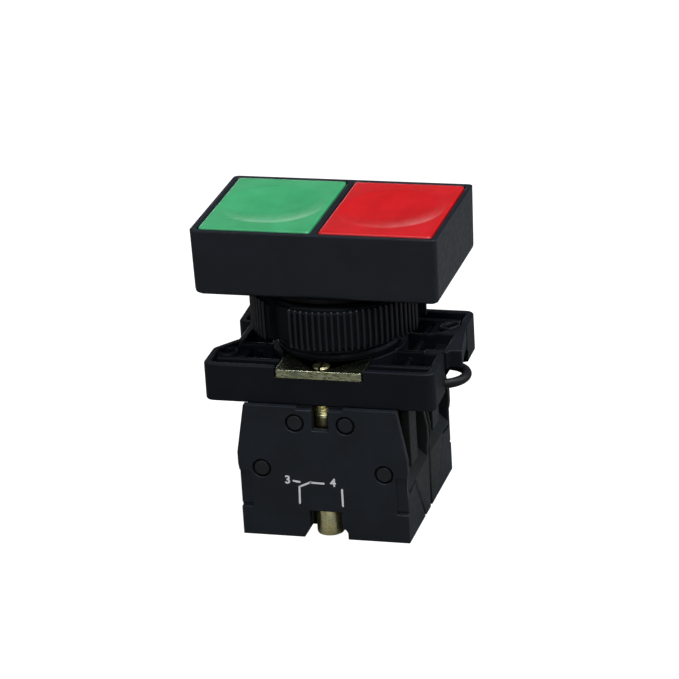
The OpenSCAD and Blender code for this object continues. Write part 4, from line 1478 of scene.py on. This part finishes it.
@dataclass
class ContactBlock:
    """One contact block: housing, cover with its print, plunger, contacts and terminals.

    Args:
        side: Which block it is.
        marks: The two terminal numbers printed on it.
        face: Distance of the printed face from the middle.
        ink_width: Width of the printed lines.
        plunger_y: Place of the plunger and its springs along Y.
        spring_foot: Height of the plunger spring's lower end.
    """

    side: Side
    marks: tuple[str, str]
    face: float = 15.8
    ink_width: float = 0.34
    plunger_y: float = -5.6
    spring_foot: float = BLOCK_FOOT_Z + 1.85

    def foot_flare(self) -> bpy.types.Object:
        """Makes the solid that opens the housing's foot below the fixing screw's head."""
        shell = Shell()
        outline = ((-3.9, -1.0), (3.9, -1.0), (3.9, 0.0), (2.6, 2.3), (-2.6, 2.3), (-3.9, 0.0))
        shell.loft([[(x, y, BLOCK_FOOT_Z + z) for x, z in outline] for y in (-16.0, -10.3)])
        return shell.build("flare_tool")

    def seam_tools(self) -> list[bpy.types.Object]:
        """Makes the solids that open the seams on the housing's two sides.

        Returns:
            One along each edge of the back, one behind each slanted edge of
            the cover's cheek and one above each cheek.
        """
        made = []
        edge = ((14.95, 0.65, -0.5), (14.95, 0.65, 11.0), (15.1, 0.5, 14.5), (13.5, 0.4, 25.0))
        for hand in (-1, 1):
            back = Shell()
            back.loft([[(hand * (x + dx), y, BLOCK_FOOT_Z + z)
                        for dx, y in ((-1.0, -width), (1.0, -width), (1.0, 0.3), (-1.0, 0.3))]
                       for x, width, z in edge])
            made.append(back.build("back_seam_tool"))
            for corners in (((-3.35, -0.6), (-4.7, -0.6), (-10.9, 9.3), (-9.9, 9.3)),
                            ((-10.0, 9.0), (-15.0, 8.4), (-15.0, 9.45), (-10.0, 9.75))):
                seam = Shell()
                seam.loft([[(hand * x, y, BLOCK_FOOT_Z + z) for y, z in corners] for x in (14.1, 16.0)])
                made.append(seam.build("cheek_seam_tool"))
        return made

    def stroke(self, a: Pair, b: Pair) -> bpy.types.Object:
        """Makes one printed line on the face.

        Args:
            a: One end along X and Z.
            b: The other end.

        Returns:
            The line.
        """
        length = math.hypot(b[0] - a[0], b[1] - a[1])
        ux, uz = (b[0] - a[0]) / length, (b[1] - a[1]) / length
        h = self.ink_width / 2
        ends = [arc(0, 0, h, -90, 90, 5), arc(0, 0, h, 90, 270, 5)]
        outline = [(p[0] + length, p[1]) for p in ends[0]] + ends[1]
        shell = Shell()
        rows = []
        for depth in (0.02, -0.012):
            rows.append([(a[0] + ux * s - uz * t, -self.face + depth, BLOCK_FOOT_Z + a[1] + uz * s + ux * t)
                         for s, t in outline])
        shell.loft(rows)
        return shell.build("stroke")

    def digit(self, text: str, x: float, z: float, size: float) -> bpy.types.Object:
        """Makes one printed number.

        Args:
            text: The number.
            x: Its middle along X.
            z: Height of its middle above the block's foot.
            size: Height of the number.

        Returns:
            The number's object.
        """
        curve = bpy.data.curves.new("number", "FONT")
        curve.body = text
        curve.size = size * 1.38 * MM
        curve.align_x = "CENTER"
        curve.align_y = "CENTER"
        curve.extrude = 0.012 * MM
        curve.offset = 0.06 * MM
        made = linked("number", curve)
        bpy.context.view_layer.update()
        depsgraph = bpy.context.evaluated_depsgraph_get()
        mesh = bpy.data.meshes.new_from_object(made.evaluated_get(depsgraph), depsgraph=depsgraph)
        bpy.data.objects.remove(made)
        mesh.transform(Matrix.Rotation(math.radians(90), 4, "X"))
        mesh.transform(Matrix.Translation((x * MM, -self.face * MM, (BLOCK_FOOT_Z + z) * MM)))
        return linked("number", mesh)

    def print_on_face(self, ink: bpy.types.Material) -> None:
        """Prints the terminal numbers and the contact sign.

        Args:
            ink: The ink.
        """
        lines = [((-5.3, 10.65), (-4.25, 10.5)), ((-2.25, 10.5), (0.1, 10.45)),
                 ((-4.3, 9.6), (-4.4, 6.5)), ((3.3, 9.5), (3.3, 6.4))]
        if self.side is Side.FRONT:
            lines.append(((-4.1, 9.7), (-2.2, 10.6)))
        else:
            lines += [((-4.1, 10.9), (-2.0, 10.0)), ((-2.2, 10.5), (-2.2, 9.9))]
        parts = [self.digit(self.marks[0], -6.35, 10.75, 1.5), self.digit(self.marks[1], 1.75, 10.65, 1.5)]
        parts += [self.stroke(a, b) for a, b in lines]
        piece = joined(f"{self.side.value}_terminal_print", *parts)
        turned(piece, self.side.turn)
        settle(piece, "switch_body", None, ink)

    def terminal_screws(self, metal: bpy.types.Material) -> None:
        """Makes the two terminal screws with threads and crossed slots.

        Args:
            metal: Their plated steel.
        """
        parts = []
        count, foot, top = 28, BLOCK_FOOT_Z + 12.4, BLOCK_FOOT_Z + 22.4
        head = ((2.15, foot), (2.4, foot + 0.3), (2.4, foot + 1.85), (2.25, foot + 2.0), (1.25, foot + 2.01))
        for x in (-11.0, 11.0):
            axis = (x, -7.9)
            thread = Thread(axis, foot + 2.02, top, pitch=0.5, root=1.22, crest=1.5, count=count, steps=100)
            rows = [circle(r, z, count, axis) for r, z in head]
            rows += thread.rows(lambda z: min((top - z) / 0.5, (z - foot - 2.0) / 0.4))
            shell = Shell()
            shell.loft(rows)
            screw = shell.build("terminal_screw")
            cross_slot(screw, axis, (foot - 1, foot + 0.9), half=0.4, reach=3.0)
            parts.append(smooth(screw, 45.0))
        piece = joined(f"{self.side.value}_clamp_screws", *parts)
        turned(piece, self.side.turn)
        settle(piece, "switch_body", f"{self.side.value}_terminal_screws", metal)

    def dress(self, kit: dict[str, bpy.types.Material]) -> None:
        """Builds every piece of the block.

        Args:
            kit: The block's materials by name.
        """
        s = self.side.value
        housing = carved(f"{s}_block_housing", f"{s}_housing_shell", 0.14)
        tools = [turned(tool, self.side.turn) for tool in (self.foot_flare(), *self.seam_tools())]
        housing = smooth(cut(housing, *tools), 50.0, Shade.WEIGHTED)
        settle(housing, "switch_body", f"{s}_block_housing", kit["block"])
        cover = carved(f"{s}_block_cover", f"{s}_cover_plate", 0.16, 3)
        settle(cover, "switch_body", f"{s}_block_cover", kit["cover"])
        self.print_on_face(kit["ink"])
        self.terminal_screws(kit["screw"])
        for node, name, width, body, slot, finish in (
                ("wire_clamps", "clamp_plates", 0.1, "switch_body", "yellow_zinc", "plate"),
                ("terminal_strips", "contact_strips", 0.1, "switch_body", "contact_brass", "brass"),
                ("plunger", "slide", 0.12, f"{s}_plunger", "white_plastic", "natural"),
                ("contact_bridge", "bridge", 0.1, f"{s}_bridge", "contact_brass", "brass")):
            settle(carved(f"{s}_{node}", f"{s}_{name}", width), body, f"{s}_{node}", kit[finish])
        self.springs(kit["wire"])

    def springs(self, wire: bpy.types.Material) -> None:
        """Makes the plunger's spring and the spring that loads the contact bridge.

        The rear contact spring rides with its bridge and keeps its length.

        Args:
            wire: Their drawn steel.
        """
        s, front = self.side.value, self.side is Side.FRONT
        place = (0.0, self.plunger_y)
        length, turns = (9.55, 5) if front else (7.55, 4)
        coil = CoilSpring(f"{s}_lift_spring", place, self.spring_foot, length,
                          radius=1.65, wire=0.5, turns=turns)
        lift = turned(coil.make(wire), self.side.turn)
        settle(lift, "switch_body", f"{s}_plunger_spring", wire)
        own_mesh(lift)
        seat, length = BLOCK_FOOT_Z + 13.4, 5.5
        if front:
            load = CoilSpring(f"{s}_load_spring", place, seat + 0.05, length, radius=2.0, wire=0.5, turns=4)
        else:
            load = CoilSpring(f"{s}_load_spring", place, BLOCK_FOOT_Z + 10.5, length=2.3,
                              radius=1.65, wire=0.4, turns=4)
        push = turned(load.make(wire), self.side.turn)
        settle(push, f"{s}_bridge", f"{s}_contact_spring", wire)
        if front:
            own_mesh(push)


# Studio


@dataclass
class Studio:
    """Pale floor, soft light and the camera at the photograph's angle.

    Args:
        camera_at: Place of the camera in millimetres.
        yaw: Turn to the left in degrees.
        pitch: Tilt up in degrees.
        roll: Roll in degrees.
        lens: Focal length in millimetres.
        floor_z: Height of the floor.
    """

    camera_at: Point = (160.57, -550.31, 220.31)
    yaw: float = -16.28
    pitch: float = -22.13
    roll: float = -3.45
    lens: float = 188.68
    floor_z: float = BLOCK_FOOT_Z - 0.02

    def camera(self) -> None:
        """Places the camera."""
        yaw, pitch, roll = (math.radians(v) for v in (self.yaw, self.pitch, self.roll))
        forward = Vector((math.sin(yaw) * math.cos(pitch), math.cos(yaw) * math.cos(pitch), math.sin(pitch)))
        right = Vector((math.cos(yaw), -math.sin(yaw), 0.0))
        up = right.cross(forward)
        side = right * math.cos(roll) + up * math.sin(roll)
        top = -right * math.sin(roll) + up * math.cos(roll)
        data = bpy.data.cameras.new("photo_camera")
        data.lens = self.lens
        data.sensor_width = 36.0
        data.clip_start, data.clip_end = 0.01, 20.0
        camera = linked("photo_camera", data)
        place = Matrix.Identity(4)
        for row in range(3):
            place[row][0], place[row][1], place[row][2] = side[row], top[row], -forward[row]
            place[row][3] = self.camera_at[row] * MM
        camera.matrix_world = place
        bpy.context.scene.camera = camera

    def lamp(self, name: str, place: Point, target: Point, size: Pair, power: float,
             tint: Colour = (1.0, 1.0, 1.0)) -> None:
        """Hangs a soft box.

        Args:
            name: Its name.
            place: Where it hangs, in millimetres.
            target: What it shines at.
            size: Its width and height.
            power: Its power in watts.
            tint: Its colour.
        """
        data = bpy.data.lights.new(name, "AREA")
        data.shape = "RECTANGLE"
        data.size, data.size_y = size[0] * MM, size[1] * MM
        data.energy = power
        data.color = tint
        lamp = linked(name, data)
        spot = Vector(place) * MM
        lamp.location = spot
        lamp.rotation_euler = (Vector(target) * MM - spot).to_track_quat("-Z", "Y").to_euler()
        lamp.visible_camera = False

    def world(self) -> None:
        """Sets a dim surround that the camera itself sees as white."""
        world = bpy.data.worlds.new("pale_surround")
        bpy.context.scene.world = world
        world.use_nodes = True
        tree = world.node_tree
        tree.nodes.clear()
        coords = add_node(tree, "ShaderNodeTexCoord")
        split = add_node(tree, "ShaderNodeSeparateXYZ", {0: coords.outputs["Generated"]})
        spread = add_node(tree, "ShaderNodeMapRange", {
            "From Min": -0.75, "From Max": 0.35, "To Min": 0.1, "To Max": 0.04, "Value": split.outputs["Y"]})
        around = add_node(tree, "ShaderNodeBackground", {
            "Color": (0.95, 0.98, 1.0, 1.0), "Strength": spread.outputs["Result"]})
        white = add_node(tree, "ShaderNodeBackground", {"Color": (1.0, 1.0, 1.0, 1.0)})
        path = add_node(tree, "ShaderNodeLightPath")
        mix = add_node(tree, "ShaderNodeMixShader", {
            "Fac": path.outputs["Is Camera Ray"], 1: around.outputs[0], 2: white.outputs[0]})
        add_node(tree, "ShaderNodeOutputWorld", {"Surface": mix.outputs[0]})

    def floor(self) -> None:
        """Lays the pale floor."""
        shell = Shell()
        half = 3000.0
        shell.ring(level(((-half, -half), (half, -half), (half, half), (-half, half)), self.floor_z))
        shell.faces.append((0, 1, 2, 3))
        floor = shell.build("studio_floor", False)
        g = Graph("pale_floor")
        path = g.step("ShaderNodeLightPath")
        floor.data.materials.append(g.put(
            Base_Color=(0.2, 0.2, 0.2), Roughness=0.9, Specular_IOR_Level=0.0,
            Emission_Color=(1.0, 1.0, 1.0), Emission_Strength=path.outputs["Is Camera Ray"]))

    def dress(self) -> None:
        """Builds the studio."""
        self.camera()
        self.world()
        self.floor()
        self.lamp("top_box", (120, -60, 440), (0, 0, 0), (300, 300), 2.2)
        self.lamp("front_box", (80, -500, 270), (0, 0, -15), (260, 260), 0.68)
        self.lamp("rear_strip", (-420, 668, 34), (0, 0, 10), (490, 70), 0.46)
        self.lamp("left_strip", (-530, -280, 60), (0, 0, -20), (150, 340), 0.2)
        self.lamp("right_box", (380, 60, 230), (0, 0, -15), (300, 300), 0.95, (0.92, 0.97, 1.0))
        self.lamp("edge_box", (-130, -190, 445), (0, 0, -10), (90, 90), 0.2)
        settings = bpy.context.scene.view_settings
        settings.view_transform = "Standard"
        settings.look = "None"


def finishes() -> dict[str, bpy.types.Material]:
    """Makes every material once.

    Returns:
        The materials by short name.
    """
    kit = {
        "bezel": MouldedPlastic("bezel_black", (0.006, 0.009, 0.015), (0.07, 0.08, 0.095), (0.36, 0.5),
                                grain_per_mm=8.0, grain_depth=0.008, wear=0.35, gloss=0.42),
        "body": MouldedPlastic("body_black", (0.004, 0.006, 0.01), (0.05, 0.058, 0.07), (0.44, 0.6),
                               grain_per_mm=6.0, grain_depth=0.014, wear=0.3, gloss=0.2),
        # The nut's core is darker than its ribs: painted shade in the valleys between the ribs and in the
        # wrench recesses.
        "nut": MouldedPlastic("nut_core_painted_shade", (0.002, 0.003, 0.004), (0.03, 0.035, 0.042), (0.5, 0.66),
                              grain_per_mm=6.0, grain_depth=0.01, wear=0.1, gloss=0.16),
        "ribs": MouldedPlastic("nut_rib_black", (0.004, 0.005, 0.008), (0.05, 0.058, 0.07), (0.26, 0.4),
                               grain_per_mm=6.0, grain_depth=0.004, wear=0.3, gloss=0.5),
        "lever": MouldedPlastic("lever_black", (0.006, 0.006, 0.007), (0.05, 0.052, 0.055), (0.42, 0.56),
                                grain_per_mm=6.0, grain_depth=0.01, wear=0.3, gloss=0.27),
        "block": MouldedPlastic("block_slate", (0.010, 0.014, 0.015), (0.07, 0.085, 0.085), (0.46, 0.62),
                                grain_per_mm=6.0, grain_depth=0.014, wear=0.35, gloss=0.34),
        "cover": MouldedPlastic("cover_slate", (0.008, 0.012, 0.018), (0.065, 0.075, 0.085), (0.46, 0.6),
                                grain_per_mm=7.0, grain_depth=0.012, wear=0.35, gloss=0.34),
        "natural": MouldedPlastic("natural_white", (0.68, 0.66, 0.58), (0.8, 0.79, 0.74), (0.38, 0.5),
                                  grain_per_mm=6.0, grain_depth=0.008, wear=0.3),
        "green": CapPlastic("green_cap_plastic", (0.055, 0.36, 0.155), (0.04, 0.30, 0.12)),
        "red": CapPlastic("red_cap_plastic", (0.55, 0.009, 0.014), (0.45, 0.006, 0.008)),
        "plate": PlatedSteel("yellow_plated_steel"),
        "screw": PlatedSteel("plated_screw_steel", (0.98, 0.85, 0.4), (0.84, 0.84, 0.45), (0.27, 0.44),
                             marks=(1.4, 1.4, 0.1), mark_depth=0.05, spots=0.25),
        "wire": BareMetal("spring_wire", (0.62, 0.62, 0.64), (0.36, 0.35, 0.34)),
        "brass": BareMetal("contact_brass_strip", (0.66, 0.46, 0.18), (0.34, 0.24, 0.11), (6.0, 1.0, 1.0)),
        "rubber": SealRubber(),
        "ink": PrintInk(),
    }
    return {name: finish.make() for name, finish in kit.items()}


def main() -> None:
    """Builds the part from its top to its foot, then the studio."""
    logging.basicConfig(level=logging.INFO, format="%(name)s: %(message)s")
    kit = finishes()
    Head().dress(kit)
    Neck().dress(kit["body"], kit["rubber"])
    RingNut().dress(kit["nut"], kit["ribs"])
    Collar().dress(kit)
    for side, marks in ((Side.FRONT, ("3", "4")), (Side.REAR, ("1", "2"))):
        ContactBlock(side, marks).dress(kit)
    Studio().dress()


if __name__ == "__main__":
    main()
